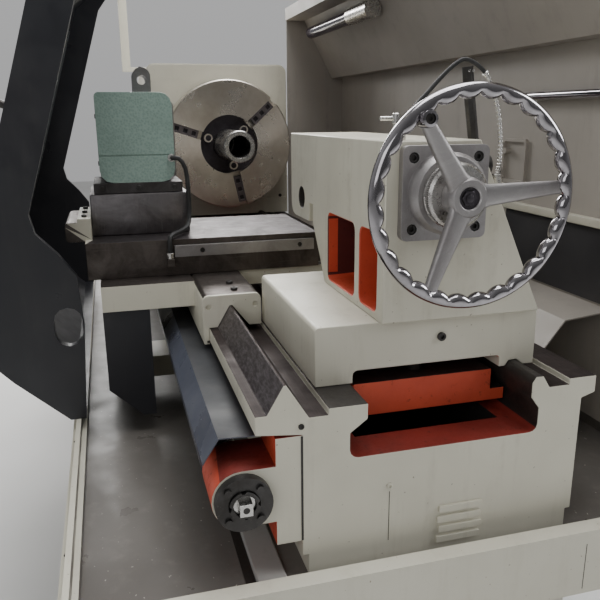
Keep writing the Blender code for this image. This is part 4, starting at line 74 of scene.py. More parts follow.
def make_camera():
    forward = Vector((-math.cos(YAW) * math.cos(PITCH), math.sin(YAW) * math.cos(PITCH), -math.sin(PITCH)))
    level = Vector((math.sin(YAW), math.cos(YAW), 0))
    below = forward.cross(level)
    right = math.cos(ROLL) * level + math.sin(ROLL) * below
    down = -math.sin(ROLL) * level + math.cos(ROLL) * below
    camera = bpy.data.objects.new("camera", bpy.data.cameras.new("camera"))
    camera.data.lens = LENS
    camera.data.sensor_width = SENSOR
    camera.data.clip_start = NEAREST
    turn = Matrix((right, -down, -forward)).transposed()
    camera.matrix_world = Matrix.Translation(CAMERA_PLACE) @ turn.to_4x4()
    bpy.context.scene.collection.objects.link(camera)
    bpy.context.scene.camera = camera


make_camera()

# ---- materials


def put(tree, socket, value):
    if isinstance(value, bpy.types.NodeSocket):
        tree.links.new(value, socket)
    else:
        socket.default_value = value


def add_node(tree, kind, **inputs):
    """A shader or world node; each input is a value or another node's output, and _ stands for a space."""
    node = tree.nodes.new("ShaderNode" + kind)
    for name, value in inputs.items():
        put(tree, node.inputs[name.replace("_", " ")], value)
    return node


class Look:
    """One material, built a node at a time. Its textures follow the object's own coordinates, in metres."""

    def __init__(self, name, metallic=0.0, **fixed):
        self.material = bpy.data.materials.new(name)
        self.material.use_nodes = True
        self.tree = self.material.node_tree
        self.tree.nodes.clear()
        self.shader = self.node("BsdfPrincipled", Metallic=metallic, **fixed)
        self.node("OutputMaterial", Surface=self.shader.outputs[0])
        self.place = self.node("TexCoord").outputs["Object"]

    def node(self, kind, **inputs):
        return add_node(self.tree, kind, **inputs)

    def noise(self, scale, detail=3.0, stretch=(1, 1, 1), shift=0.0, rough=0.55, twist=0.0):
        moved_by = (shift, 1.7 * shift, 0.6 * shift)
        mapping = self.node("Mapping", Vector=self.place, Scale=stretch, Location=moved_by)
        noise = self.node("TexNoise", Vector=mapping.outputs[0], Scale=scale, Detail=detail)
        noise.inputs["Roughness"].default_value = rough
        noise.inputs["Distortion"].default_value = twist
        return noise.outputs["Fac"]

    def cells(self, scale):
        return self.node("TexVoronoi", Vector=self.place, Scale=scale).outputs["Distance"]

    def span(self, value, low, high, to_low=0.0, to_high=1.0):
        node = self.node("MapRange", Value=value, From_Min=low, From_Max=high, To_Min=to_low, To_Max=to_high)
        return node.outputs["Result"]

    def maths(self, operation, a, b):
        node = self.node("Math")
        node.operation = operation
        put(self.tree, node.inputs[0], a)
        put(self.tree, node.inputs[1], b)
        return node.outputs[0]

    def mix(self, share, a, b):
        node = self.node("Mix")
        node.data_type = "RGBA"
        put(self.tree, node.inputs["Factor"], share)
        sockets = [s for s in node.inputs if s.type == "RGBA"]
        for socket, value in zip(sockets, (a, b)):
            put(self.tree, socket, (*value, 1) if isinstance(value, tuple) else value)
        return next(s for s in node.outputs if s.type == "RGBA")

    def bump(self, *layers):
        """Each layer is (height, strength, distance in metres); they add up."""
        normal = {}
        for height, strength, distance in layers:
            node = self.node("Bump", Height=height, Strength=strength, Distance=distance, **normal)
            normal = {"Normal": node.outputs[0]}
        put(self.tree, self.shader.inputs["Normal"], node.outputs[0])

    def finish(self, colour, roughness):
        put(self.tree, self.shader.inputs["Base Color"], colour)
        put(self.tree, self.shader.inputs["Roughness"], roughness)
        return self.material


def paint(name, base, shade, dirt, rough=(0.32, 0.55), peel=0.10, grime=0.35, chip=None):
    """Sprayed enamel: cloudy tone, runs of grime, small chips, and an orange-peel skin."""
    look = Look(name)
    cloud = look.noise(2.6, 4)
    colour = look.mix(look.span(cloud, 0.35, 0.68), base, shade)
    runs = look.noise(22, 5, stretch=(1, 1, 0.10), shift=3.1, rough=0.65)
    spots = look.noise(34, 6, shift=7.7, rough=0.7)
    soil = look.maths("MULTIPLY", look.span(runs, 0.52, 0.80, 0, grime), look.span(spots, 0.35, 0.70))
    colour = look.mix(soil, colour, dirt)
    if chip:
        nick = look.span(look.noise(120, 2, shift=1.3), 0.735, 0.755)
        colour = look.mix(nick, colour, chip)
    uneven = look.span(look.noise(11, 5, shift=5.0), 0.3, 0.7, *rough)
    skin, waves = look.noise(420, 2), look.noise(9, 2, shift=2.2)
    look.bump((skin, peel, 0.0006), (waves, 0.10, 0.004))
    return look.finish(colour, uneven)


def steel(name, base, dark, rough=(0.22, 0.42), along=(1, 1, 1), stain=0.7, fine=150, grind=0.25):
    """Machined steel: fine tool lines along one axis, stains of oil, and worn bright scratches."""
    look = Look(name, metallic=1.0)
    lines = look.noise(fine, 3, stretch=along, shift=0.4, rough=0.6)
    oily = look.noise(13, 6, shift=8.8, rough=0.68, twist=0.6)
    colour = look.mix(look.span(oily, 0.40, 0.72, 0, stain), base, dark)
    worn = tuple(min(1, 1.5 * c + 0.05) for c in base)
    colour = look.mix(look.span(lines, 0.62, 0.80, 0, 0.55), colour, worn)
    uneven = look.maths("ADD", look.span(lines, 0.3, 0.7, 0, 0.14), look.span(oily, 0.3, 0.75, *rough))
    look.bump((lines, grind, 0.0004))
    return look.finish(colour, uneven)


def cast(name, base, shade, rough, rust):
    """Painted casting: a rough sand-cast skin under thick paint, rusty in its pits."""
    look = Look(name)
    cloud = look.noise(6, 5, shift=0.9, rough=0.62)
    colour = look.mix(look.span(cloud, 0.32, 0.70), base, shade)
    grit = look.noise(70, 5, shift=4.4, rough=0.7)
    colour = look.mix(look.span(grit, 0.60, 0.76), colour, rust)
    look.bump((grit, 0.30, 0.0014), (look.noise(300, 2), 0.15, 0.0005))
    return look.finish(colour, look.span(grit, 0.3, 0.7, *rough))


def turned_steel(name, base, dark):
    """A face turned on a lathe: its highlight spreads across the fine rings."""
    look = Look(name, metallic=1.0, Anisotropic=0.82)
    tangent = look.node("Tangent")
    tangent.direction_type = "RADIAL"
    tangent.axis = "X"
    put(look.tree, look.shader.inputs["Tangent"], tangent.outputs[0])
    oily = look.noise(9, 5, shift=8.8, rough=0.6)
    colour = look.mix(look.span(oily, 0.38, 0.72), base, dark)
    look.bump((look.noise(40, 2, shift=1.0), 0.02, 0.0004))
    return look.finish(colour, look.span(oily, 0.3, 0.7, 0.24, 0.34))


def chrome(name, base, film_colour):
    look = Look(name, metallic=1.0)
    film = look.noise(30, 5, shift=3.3, rough=0.65)
    colour = look.mix(look.span(film, 0.45, 0.75), base, film_colour)
    look.bump((look.noise(60, 2), 0.04, 0.0006))
    return look.finish(colour, look.span(film, 0.4, 0.75, 0.06, 0.20))


def hammertone(name, base, bright, dull, chip):
    """Hammered enamel: small pools of paint with a coat of varnish."""
    look = Look(name, Coat_Weight=0.25)
    pools = look.cells(190)
    cloud = look.noise(9, 4, shift=2.0)
    colour = look.mix(look.span(pools, 0.1, 0.75), base, bright)
    colour = look.mix(look.span(cloud, 0.45, 0.78, 0, 0.55), colour, dull)
    nick = look.span(look.noise(60, 4, shift=9.3, rough=0.7), 0.70, 0.73)
    colour = look.mix(nick, colour, chip)
    look.bump((pools, 0.45, 0.0009), (look.noise(16, 3), 0.2, 0.003))
    return look.finish(colour, look.span(pools, 0.1, 0.7, 0.28, 0.42))


def glass(name, tint, alpha, rough):
    look = Look(name, Alpha=alpha, IOR=1.50)
    film = look.noise(5, 4, stretch=(1, 1, 0.4), shift=1.0)
    colour = look.mix(look.span(film, 0.35, 0.7), tint, tuple(0.8 * c + 0.03 for c in tint))
    look.bump((look.noise(3, 1), 0.02, 0.002))
    return look.finish(colour, look.span(film, 0.35, 0.75, rough, rough + 0.08))


def rubber(name, base, weave=0.2):
    look = Look(name)
    dust = look.noise(25, 5, shift=6.0, rough=0.7)
    colour = look.mix(look.span(dust, 0.48, 0.78), base, tuple(c + 0.045 for c in base))
    look.bump((look.noise(240, 3), weave, 0.0006))
    return look.finish(colour, look.span(dust, 0.3, 0.7, 0.48, 0.72))


def worn_steel(name, base, speckle, dull):
    """The vee's worn slope: bright speckles along the way, and duller clouds."""
    look = Look(name, metallic=1.0)
    speck = look.noise(150, 5, stretch=(0.35, 1, 1), shift=2.0, rough=0.72)
    cloud = look.noise(9, 4, stretch=(0.4, 1, 1), shift=6.0)
    colour = look.mix(look.span(speck, 0.42, 0.66), base, speckle)
    colour = look.mix(look.span(cloud, 0.40, 0.72, 0, 0.5), colour, dull)
    look.bump((speck, 0.25, 0.0005))
    return look.finish(colour, look.span(speck, 0.3, 0.7, 0.56, 0.40))


ALONG_Y, ALONG_Z = (1, 0.05, 1), (1, 1, 0.05)  # the way that tool lines run

CREAM = paint(
    "cream_enamel", (0.68, 0.655, 0.55), (0.59, 0.565, 0.47), (0.26, 0.22, 0.15), grime=0.40,
    chip=(0.35, 0.30, 0.22),
)  # fmt: skip
CREAM_CAST = paint(
    "cream_on_iron", (0.68, 0.655, 0.545), (0.56, 0.535, 0.44), (0.22, 0.18, 0.12), (0.34, 0.58), 0.18, 0.55,
    (0.28, 0.24, 0.18),
)  # fmt: skip
WALL = paint(
    "guard_sheet", (0.43, 0.395, 0.355), (0.35, 0.32, 0.285), (0.15, 0.12, 0.10), (0.40, 0.62), 0.08, 0.45
)
GREY = paint(
    "grey_sheet_paint", (0.40, 0.395, 0.375), (0.33, 0.32, 0.30), (0.13, 0.12, 0.10), (0.34, 0.60), 0.10, 0.50
)
PAN = paint(
    "pan_paint", (0.165, 0.152, 0.138), (0.110, 0.100, 0.090), (0.34, 0.32, 0.29), (0.26, 0.52), 0.14, 0.45,
    (0.42, 0.40, 0.36),
)  # fmt: skip
DARK = paint(
    "dark_sheet_paint", (0.016, 0.017, 0.021), (0.024, 0.024, 0.028),
    (0.09, 0.085, 0.075), (0.26, 0.48), 0.08, 0.25,
)  # fmt: skip
COVER = paint(
    "cover_sheet_paint", (0.105, 0.115, 0.150), (0.070, 0.076, 0.100),
    (0.22, 0.21, 0.20), (0.22, 0.42), 0.10, 0.35,
)  # fmt: skip
# Painted shade: a darker copy of the cover's paint for its top face.
SHADE = paint(
    "cover_top_painted_shade", (0.040, 0.042, 0.048), (0.028, 0.029, 0.033),
    (0.10, 0.09, 0.08), (0.50, 0.70), 0.08, 0.4,
)  # fmt: skip
MOTOR = paint(
    "motor_black_paint", (0.018, 0.018, 0.019), (0.026, 0.026, 0.027),
    (0.10, 0.09, 0.08), (0.35, 0.58), 0.18, 0.35,
)  # fmt: skip
# Painted shade: near black for the plate that stands for the dark opening low in the rear guard.
OPENING_SHADE = paint(
    "opening_painted_shade", (0.022, 0.021, 0.024), (0.030, 0.028, 0.030),
    (0.06, 0.05, 0.05), (0.45, 0.65), 0.08, 0.3,
)  # fmt: skip
RED = paint(
    "stop_red_plastic", (0.62, 0.018, 0.014), (0.52, 0.014, 0.012), (0.2, 0.02, 0.02), (0.22, 0.36), 0.03, 0.1
)
ORANGE = cast(
    "orange_primer_on_iron", (0.66, 0.092, 0.040), (0.50, 0.060, 0.028), (0.42, 0.62), (0.22, 0.035, 0.016)
)
# Painted shade: the orange primer darkened for the channel's floor and for the screw bracket's top under its
# cover.
PRIMER_IN_SHADE = cast(
    "primer_painted_shade", (0.26, 0.030, 0.020), (0.14, 0.020, 0.015), (0.40, 0.65), (0.020, 0.012, 0.010)
)
# Painted deep shade: the primer darkened to near black for the backs of the tailstock's windows and a jamb.
PRIMER_IN_DEEP_SHADE = cast("shaded_primer", (0.10, 0.014, 0.012), (0.055, 0.010, 0.009), (0.45, 0.65), (0.016, 0.010, 0.010))
# Painted shade: near black, put on the bed's channel walls, holes and gaps where shade falls, and on seams.
SHADE_BLACK_IRON = cast(
    "black_iron_painted_shade", (0.020, 0.018, 0.017), (0.034, 0.028, 0.024), (0.35, 0.60), (0.07, 0.05, 0.035)
)
STEEL = steel(
    "ground_steel_oiled", (0.38, 0.365, 0.365), (0.16, 0.14, 0.13), along=(0.05, 1, 1), stain=0.5, fine=260
)
STEEL_Y = steel(
    "ground_steel_crosswise", (0.105, 0.095, 0.097), (0.045, 0.038, 0.037), (0.34, 0.56), ALONG_Y, 0.8, 260
)
SLIDE = steel("slide_steel", (0.135, 0.118, 0.108), (0.045, 0.037, 0.032), (0.30, 0.54), (1, 0.04, 1), 0.85, 260)
RISER = steel("riser_steel", (0.235, 0.222, 0.228), (0.085, 0.075, 0.072), (0.30, 0.50), ALONG_Z, 0.75, 260)
BASE = steel("turret_base_steel", (0.10, 0.095, 0.095), (0.035, 0.031, 0.030), (0.34, 0.55), ALONG_Z, 0.8, 260)
WAYS = steel(
    "way_steel", (0.060, 0.048, 0.046), (0.024, 0.018, 0.017), (0.46, 0.68), (0.03, 1, 1), 0.85, 340, 0.35
)
BLACK_STEEL = steel("blackened_steel", (0.085, 0.082, 0.080), (0.035, 0.030, 0.026), (0.32, 0.55), fine=180)
BRIGHT = steel(
    "bright_steel", (0.62, 0.61, 0.59), (0.38, 0.35, 0.32), (0.14, 0.28), stain=0.35, fine=160, grind=0.08
)
PALE_CAST = steel(
    "bead_blasted_steel", (0.40, 0.385, 0.385), (0.24, 0.22, 0.215), (0.34, 0.50),
    stain=0.6, fine=420, grind=0.45,
)
# Painted shade: steel darkened for the chuck's hub recess, its boss sockets, the jaws' backs and the handwheel's
# hub recess.
RECESS_IN_SHADE = steel("recess_steel_painted_shade", (0.085, 0.078, 0.088), (0.030, 0.026, 0.028), (0.30, 0.50))
JAW = steel("jaw_steel", (0.24, 0.215, 0.225), (0.10, 0.088, 0.092), (0.28, 0.46))
CHUCK = turned_steel("turned_face_steel", (0.86, 0.81, 0.73), (0.66, 0.59, 0.50))
VEE = worn_steel("worn_vee_steel", (0.125, 0.105, 0.110), (0.34, 0.315, 0.325), (0.13, 0.112, 0.110))
CHROME = chrome("polished_chrome", (0.40, 0.385, 0.405), (0.28, 0.265, 0.275))
GREEN = hammertone(
    "green_hammertone_enamel", (0.235, 0.345, 0.300), (0.315, 0.435, 0.385),
    (0.185, 0.270, 0.235), (0.30, 0.36, 0.32),
)  # fmt: skip
PANE = glass("clear_pane", (0.30, 0.33, 0.33), 0.22, 0.04)
LAMP_GLASS = glass("dark_lamp_glass", (0.050, 0.035, 0.062), 1.0, 0.05)
SCREEN = glass("screen_glass", (0.012, 0.016, 0.018), 1.0, 0.07)
RUBBER = rubber("black_rubber_skin", (0.016, 0.016, 0.016))
KEYS = rubber("key_rubber", (0.30, 0.30, 0.29), 0.10)
FELT = rubber("wiper_felt", (0.045, 0.037, 0.028), 0.5)

# ---- dressing the CAD nodes

SHARP = math.radians(38)  # an edge over this angle stays sharp, and is rounded where it has a width
FLAT = math.radians(0.5)
WELD = 0.00001

# Material, width of its rounded edges, and the nodes that have both.
FINISHES = (
    (CREAM, 0.0015, "headstock_guard belt_cover way_wiper canopy_frame electrical_cabinet coolant_tank"),
    (CREAM_CAST, 0.0018, "bed headstock tail_pedestal head_pedestal saddle apron motor_bracket"),
    (CREAM_CAST, 0.0018, "tailstock_base tailstock_body"),
    (STEEL, 0.0006, "slide_gib boring_bar_holder turret_head"),
    (BRIGHT, 0.0004, "spindle chuck_sleeve quill tailstock_centre z_ball_screw"),
    (BRIGHT, 0, "x_ball_screw front_bearing rear_bearing graduated_collar"),
    (JAW, 0.0005, "base_jaw_1 base_jaw_2 base_jaw_3"),
    (BLACK_STEEL, 0, "spindle_pulley motor_pulley tailstock_screw screw_bearing_cap"),
    (BLACK_STEEL, 0, "clamp_lever tailstock_conduit"),
    (MOTOR, 0.0008, "main_motor z_servo_motor x_servo_motor"),
    (CHUCK, 0.0008, "chuck_body"),
    (SLIDE, 0.0008, "cross_slide"),
    (RISER, 0, "turret_riser"),
    (BASE, 0.0015, "turret_base"),
    (GREEN, 0.0008, "turret_housing"),
    (ORANGE, 0.0012, "screw_bracket"),
    (ORANGE, 0.001, "clamp_plate"),
    (PAN, 0, "chip_pan"),
    (WALL, 0, "rear_guard"),
    (GREY, 0.001, "control_panel"),
    (DARK, 0, "apron_cover sliding_door"),
    (COVER, 0, "screw_cover"),
    (PALE_CAST, 0.0012, "tailstock_cap"),
    (CHROME, 0, "wall_pipe handwheel"),
    (RUBBER, 0, "drive_belt coolant_hose"),
    (PANE, 0, "door_window"),
    (LAMP_GLASS, 0, "hood_lamp"),
    (RED, 0.001, "stop_button"),
)

# Places, in the lathe's lines, where a node changes its finish, and where shade is painted on it.
WAYS_FOOT, WAYS_INSIDE = -0.348, 0.14
VEE_FOOT, VEE_FRONT = -0.312, -0.27
CHANNEL_Y, CHANNEL_FOOT = (-0.173, 0.166), -0.600
CHIP_HOLE_HALF, CHIP_HOLE_TOP, CHIP_HOLE_X = 0.16, -0.404, (-2.7, -0.05)
CHIP_FLOOR_Z, FLANGE_Z, FLANGE_REAR = (-0.410, -0.390), (-0.420, -0.340), -0.2
TAIL_FOOT_Z, TAIL_FOOT_HALF, CLAMP_TOP = -0.31, 0.14, -0.3235
TAIL_WINDOW_Y, TAIL_WINDOW_Z = (-0.0945, 0.092), (-0.201, -0.063)
TAIL_WINDOW_X = ((-0.360, -0.200), (-0.183, -0.093))
WINDOW_BACK_Y, JAMB_X, JAMB_Z = (-0.09, 0.092), (-0.364, -0.356), (-0.2, -0.064)
SIDE_HOLE_X, SIDE_HOLE_Z, SIDE_HOLE_HALF, SIDE_HOLE_Y = -0.547, -0.057, 0.025, (-0.0945, -0.050)
SADDLE_TOP, SADDLE_RIM = -0.25, -0.2445
SLIDE_CAP_Y, SLIDE_CAP_FOOT, SLIDE_TOP = (-0.5835, -0.55), -0.166, -0.17
HUB_X, HUB_RADIUS = (-2.060, -2.034), 0.118
JAW_BACK = -2.010
LAMP_CAPS = (-2.005, -1.535)
BRACKET_TOP, PAN_RIM, PAN_END, PAN_FRONT, PAN_REAR = -0.41, -0.590, 0.05, -0.60, 0.55


def within(value, span):
    return span[0] < value < span[1]


def make_smoother():
    group = bpy.data.node_groups.new("weld_and_smooth", "GeometryNodeTree")
    group.interface.new_socket("Geometry", in_out="INPUT", socket_type="NodeSocketGeometry")
    group.interface.new_socket("Geometry", in_out="OUTPUT", socket_type="NodeSocketGeometry")
    start = group.nodes.new("NodeGroupInput")
    weld = group.nodes.new("GeometryNodeMergeByDistance")
    weld.inputs["Distance"].default_value = WELD
    faces = group.nodes.new("GeometryNodeSetShadeSmooth")
    faces.domain = "FACE"
    faces.inputs["Shade Smooth"].default_value = True
    edges = group.nodes.new("GeometryNodeSetShadeSmooth")
    edges.domain = "EDGE"
    edges.inputs["Shade Smooth"].default_value = False
    angle = group.nodes.new("GeometryNodeInputMeshEdgeAngle")
    over = group.nodes.new("FunctionNodeCompare")
    over.data_type = "FLOAT"
    over.operation = "GREATER_THAN"
    over.inputs[1].default_value = SHARP
    end = group.nodes.new("NodeGroupOutput")
    group.links.new(start.outputs[0], weld.inputs["Geometry"])
    group.links.new(weld.outputs[0], faces.inputs["Geometry"])
    group.links.new(faces.outputs[0], edges.inputs["Geometry"])
    group.links.new(angle.outputs["Unsigned Angle"], over.inputs[0])
    group.links.new(over.outputs[0], edges.inputs["Selection"])
    group.links.new(edges.outputs[0], end.inputs[0])
    return group


SMOOTHER = make_smoother()


def smooth_shading(obj):
    obj.modifiers.new("smooth", "NODES").node_group = SMOOTHER


def round_edges(obj, width):
    """Small rounded edges that catch the light, as every real edge has."""
    bevel = obj.modifiers.new("edges", "BEVEL")
    bevel.limit_method = "ANGLE"
    bevel.angle_limit = SHARP
    bevel.width = width
    bevel.segments = 2
    bevel.use_clamp_overlap = True
    bevel.harden_normals = True


def dress(name, material, edge):
    node = NODES[name]
    node.data.materials.clear()
    node.data.materials.append(material)
    for polygon in node.data.polygons:
        polygon.material_index = 0
    smooth_shading(node)
    if edge:
        flat = node.modifiers.new("flat", "DECIMATE")
        flat.decimate_type = "DISSOLVE"
        flat.angle_limit = FLAT
        flat.delimit = {"MATERIAL"}
        round_edges(node, edge)


def repaint(name, material, where):
    """Another finish on those faces of a node for which where(centre, normal) holds, in the lathe's lines; some
    of these finishes are painted shade.
    """
    mesh = NODES[name].data
    mesh.materials.append(material)
    for polygon in mesh.polygons:
        if where(polygon.center - LINES, polygon.normal):
            polygon.material_index = len(mesh.materials) - 1


def repaint_bed():
    def in_channel(c):
        return within(c.y, CHANNEL_Y)

    def in_chip_hole(c):
        return abs(c.y) < CHIP_HOLE_HALF and c.z < CHIP_HOLE_TOP and within(c.x, CHIP_HOLE_X)

    repaint("bed", WAYS, lambda c, n: c.z > WAYS_FOOT and n.z > 0.2 and abs(c.y) > WAYS_INSIDE)
    repaint("bed", VEE, lambda c, n: n.y < -0.5 and n.z > 0.3 and c.z > VEE_FOOT and c.y < VEE_FRONT)
    # Painted shade: the bed's channel walls and the sides of its chip hole are darkened to near black.
    repaint("bed", SHADE_BLACK_IRON, lambda c, n: in_channel(c) and c.z > CHANNEL_FOOT and abs(n.x) < 0.5)
    repaint("bed", SHADE_BLACK_IRON, lambda c, n: in_chip_hole(c) and abs(n.x) > 0.5)
    # Painted shade: the channel's floor, deep between the ways, in darkened primer.
    repaint("bed", PRIMER_IN_SHADE, lambda c, n: in_channel(c) and within(c.z, CHIP_FLOOR_Z) and n.z > 0.4)
    repaint("bed", ORANGE, lambda c, n: n.z < -0.3 and within(c.z, FLANGE_Z) and c.y < FLANGE_REAR)


def repaint_tailstock():
    def in_windows(c):
        in_x = any(within(c.x, span) for span in TAIL_WINDOW_X)
        return in_x and within(c.y, TAIL_WINDOW_Y) and within(c.z, TAIL_WINDOW_Z)

    def in_side_hole(c):
        near = max(abs(c.x - SIDE_HOLE_X), abs(c.z - SIDE_HOLE_Z)) < SIDE_HOLE_HALF
        return near and within(c.y, SIDE_HOLE_Y)

    def on_windows_back(c, n):
        return n.y < -0.5 and within(c.y, WINDOW_BACK_Y) and within(c.z, TAIL_WINDOW_Z)

    repaint("tailstock_base", ORANGE, lambda c, n: n.z < -0.5 and abs(c.y) < TAIL_FOOT_HALF and c.z > TAIL_FOOT_Z)
    repaint("tailstock_body", ORANGE, lambda c, n: in_windows(c))
    # Painted shade on the next four lines: the windows' backs and far jamb, the side hole, and the clamp plate's
    # top in the gap under the base.
    repaint("tailstock_body", PRIMER_IN_DEEP_SHADE, on_windows_back)
    repaint("tailstock_body", SHADE_BLACK_IRON, lambda c, n: in_side_hole(c))
    repaint("tailstock_body", PRIMER_IN_DEEP_SHADE, lambda c, n: n.x > 0.5 and within(c.x, JAMB_X) and within(c.z, JAMB_Z))
    repaint("clamp_plate", SHADE_BLACK_IRON, lambda c, n: n.z > 0.5 or c.z > CLAMP_TOP)


def repaint_carriage():
    repaint("saddle", SLIDE, lambda c, n: n.z > 0.5 and c.z > SADDLE_TOP)
    repaint("saddle", SLIDE, lambda c, n: abs(n.x) > 0.5 and c.z > SADDLE_RIM)
    repaint("cross_slide", CREAM_CAST, lambda c, n: within(c.y, SLIDE_CAP_Y) and c.z > SLIDE_CAP_FOOT)
    repaint("cross_slide", STEEL_Y, lambda c, n: n.z > 0.8 and c.z > SLIDE_TOP and c.y > SLIDE_CAP_Y[1])


def repaint_chuck():
    def in_hub(c):
        return within(c.x, HUB_X) and math.hypot(c.y, c.z) < HUB_RADIUS

    # Painted shade: the hub's recess, and the jaws' parts behind the face, are darkened.
    repaint("chuck_body", RECESS_IN_SHADE, lambda c, n: in_hub(c))
    for number in (1, 2, 3):
        repaint(f"base_jaw_{number}", RECESS_IN_SHADE, lambda c, n: c.x < JAW_BACK)


def repaint_sheet():
    def on_outer_side(c, n):
        front, rear = n.y < -0.5 and c.y < PAN_FRONT, n.y > 0.5 and c.y > PAN_REAR
        return front or rear or (n.x > 0.5 and c.x > PAN_END)

    # Painted shade: the bracket's top, inside the cover's hollow, in darkened primer.
    repaint("screw_bracket", PRIMER_IN_SHADE, lambda c, n: n.z > 0.5 and c.z > BRACKET_TOP)
    repaint("screw_bracket", CREAM_CAST, lambda c, n: n.x > 0.7)
    # Painted shade: the cover's top face is darker than its slopes.
    repaint("screw_cover", SHADE, lambda c, n: n.z > 0.85)
    repaint("chip_pan", CREAM, lambda c, n: n.z > 0.5 and c.z > PAN_RIM)
    repaint("chip_pan", CREAM, on_outer_side)
    repaint("hood_lamp", BRIGHT, lambda c, n: not LAMP_CAPS[0] <= c.x <= LAMP_CAPS[1])


for material, edge, names in FINISHES:
    for name in names.split():
        dress(name, material, edge)
repaint_bed()
repaint_tailstock()
repaint_carriage()
repaint_chuck()
repaint_sheet()

# ---- building new pieces

BRICK = ((0, 1, 3, 2), (4, 6, 7, 5), (0, 4, 5, 1), (2, 3, 7, 6), (0, 2, 6, 4), (1, 5, 7, 3))
# Profiles as shares of a head's radius and height; True marks a hexagon.
SOCKET_HEAD = ((1, 0), (1, 0.88), (0.9, 1), (0.58, 1, True), (0.58, 0.35, True))
BOLT_HEAD = ((1.25, 0), (1.25, 0.2), (1, 0.2, True), (1, 0.92, True), (0.85, 1))
LEAST_CORNER = 0.0002


def on(axis, along, u, v):
    """A point from its place along an axis and its two other coordinates in order."""
    return {"X": Vector((along, u, v)), "Y": Vector((u, along, v)), "Z": Vector((u, v, along))}[axis]


def hexagon(angle):
    """The share of a hexagon's corner radius at this angle."""
    return math.cos(TAU / 12) / math.cos((angle % (TAU / 6)) - TAU / 12)


def scaled(profile, radius, start, height):
    return [(radius * entry[0], start + height * entry[1], *entry[2:]) for entry in profile]


def moved(profile, start):
    return scaled(profile, 1, start, 1)


class Build:
    """The faces of one new piece, in the lathe's lines."""

    def __init__(self):
        self.points = []
        self.faces = []

    def add(self, points, faces):
        first = len(self.points)
        self.points += [Vector(p) for p in points]
        self.faces += [tuple(first + i for i in face) for face in faces]
        return self

    def skin(self, rings, loop=False):
        """A skin over rings of equal count: closed by its end rings, or looped from the last to the first."""
        count = len(rings[0])
        points = [p for ring in rings for p in ring]
        faces = []
        last = len(rings) if loop else len(rings) - 1
        for r in range(last):
            low = r * count
            high = (r + 1) % len(rings) * count
            for i in range(count):
                j = (i + 1) % count
                faces.append((low + i, low + j, high + j, high + i))
        if not loop:
            faces.append(tuple(range(count)))
            faces.append(tuple((len(rings) - 1) * count + i for i in range(count)))
        return self.add(points, faces)

    def turned(self, axis, centre, profile, steps=24, loop=False):
        """Each profile entry is (radius, along), or (radius, along, True) for a hexagon."""
        rings = []
        for radius, along, *six in profile:
            ring = []
            for step in range(steps):
                angle = TAU * step / steps
                reach = radius * (hexagon(angle) if six else 1)
                u, v = centre[0] + reach * math.cos(angle), centre[1] + reach * math.sin(angle)
                ring.append(on(axis, along, u, v))
            rings.append(ring)
        return self.skin(rings, loop)

    def ring(self, axis, centre, outer, inner, low, high, steps=32):
        profile = [(inner, low), (outer, low), (outer, high), (inner, high)]
        return self.turned(axis, centre, profile, steps, True)

    def head(self, axis, at, centre, radius, height, shape=SOCKET_HEAD):
        """A screw's head that stands on the level at; a negative height points it the other way."""
        return self.turned(axis, centre, scaled(shape, radius, at, height))

    def box(self, x, y, z):
        return self.add(product(x, y, z), BRICK)

    def prism(self, axis, span, outline):
        return self.skin([[on(axis, end, u, v) for u, v in outline] for end in span])

    def tube(self, path, radius, steps=12):
        """A tube along points; radius is a number or a function of the point's index."""
        reach = radius if callable(radius) else lambda index: radius
        path = [Vector(p) for p in path]
        side = None
        rings = []
        for index, place in enumerate(path):
            before = path[index - 1] if index else place
            after = path[index + 1] if index + 1 < len(path) else place
            along = (after - before).normalized()
            if side is None:
                side = along.orthogonal().normalized()
            side = (side - along * side.dot(along)).normalized()
            other = along.cross(side)
            turns = [TAU * step / steps for step in range(steps)]
            outward = [math.cos(turn) * side + math.sin(turn) * other for turn in turns]
            rings.append([place + reach(index) * out for out in outward])
        return self.skin(rings)

    def piece(self, name, material, body, slot, edge=0.0, stands_for=()):
        mesh = bpy.data.meshes.new(name)
        build = bmesh.new()
        corners = [build.verts.new(p + LINES) for p in self.points]
        for face in self.faces:
            build.faces.new([corners[i] for i in face])
        bmesh.ops.recalc_face_normals(build, faces=build.faces)
        build.to_mesh(mesh)
        build.free()
        mesh.materials.append(material)
        obj = bpy.data.objects.new(name, mesh)
        bpy.context.scene.collection.objects.link(obj)
        smooth_shading(obj)
        if edge:
            round_edges(obj, edge)
        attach(obj, body)
        if stands_for:
            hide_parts(*stands_for)


def screws(name, body, axis, at, radius, height, places, material=BLACK_STEEL, slot="dark_steel"):
    """Socket heads of one size on one level, as one piece."""
    heads = Build()
    for place in places:
        heads.head(axis, at, place, radius, height)
    heads.piece(name, material, body, slot)


def rounded(u, v, corner, grow=0.0, steps=5):
    """The outline of a rectangle, grown outward, with round corners."""
    outline = []
    corner = max(corner, LEAST_CORNER)
    for centre_u, centre_v, start in ((1, 1, 0), (0, 1, 1), (0, 0, 2), (1, 0, 3)):
        middle_u = (u[1] + grow - corner) if centre_u else (u[0] - grow + corner)
        middle_v = (v[1] + grow - corner) if centre_v else (v[0] - grow + corner)
        for step in range(steps + 1):
            angle = TAU / 4 * (start + step / steps)
            outline.append((middle_u + corner * math.cos(angle), middle_v + corner * math.sin(angle)))
    return outline


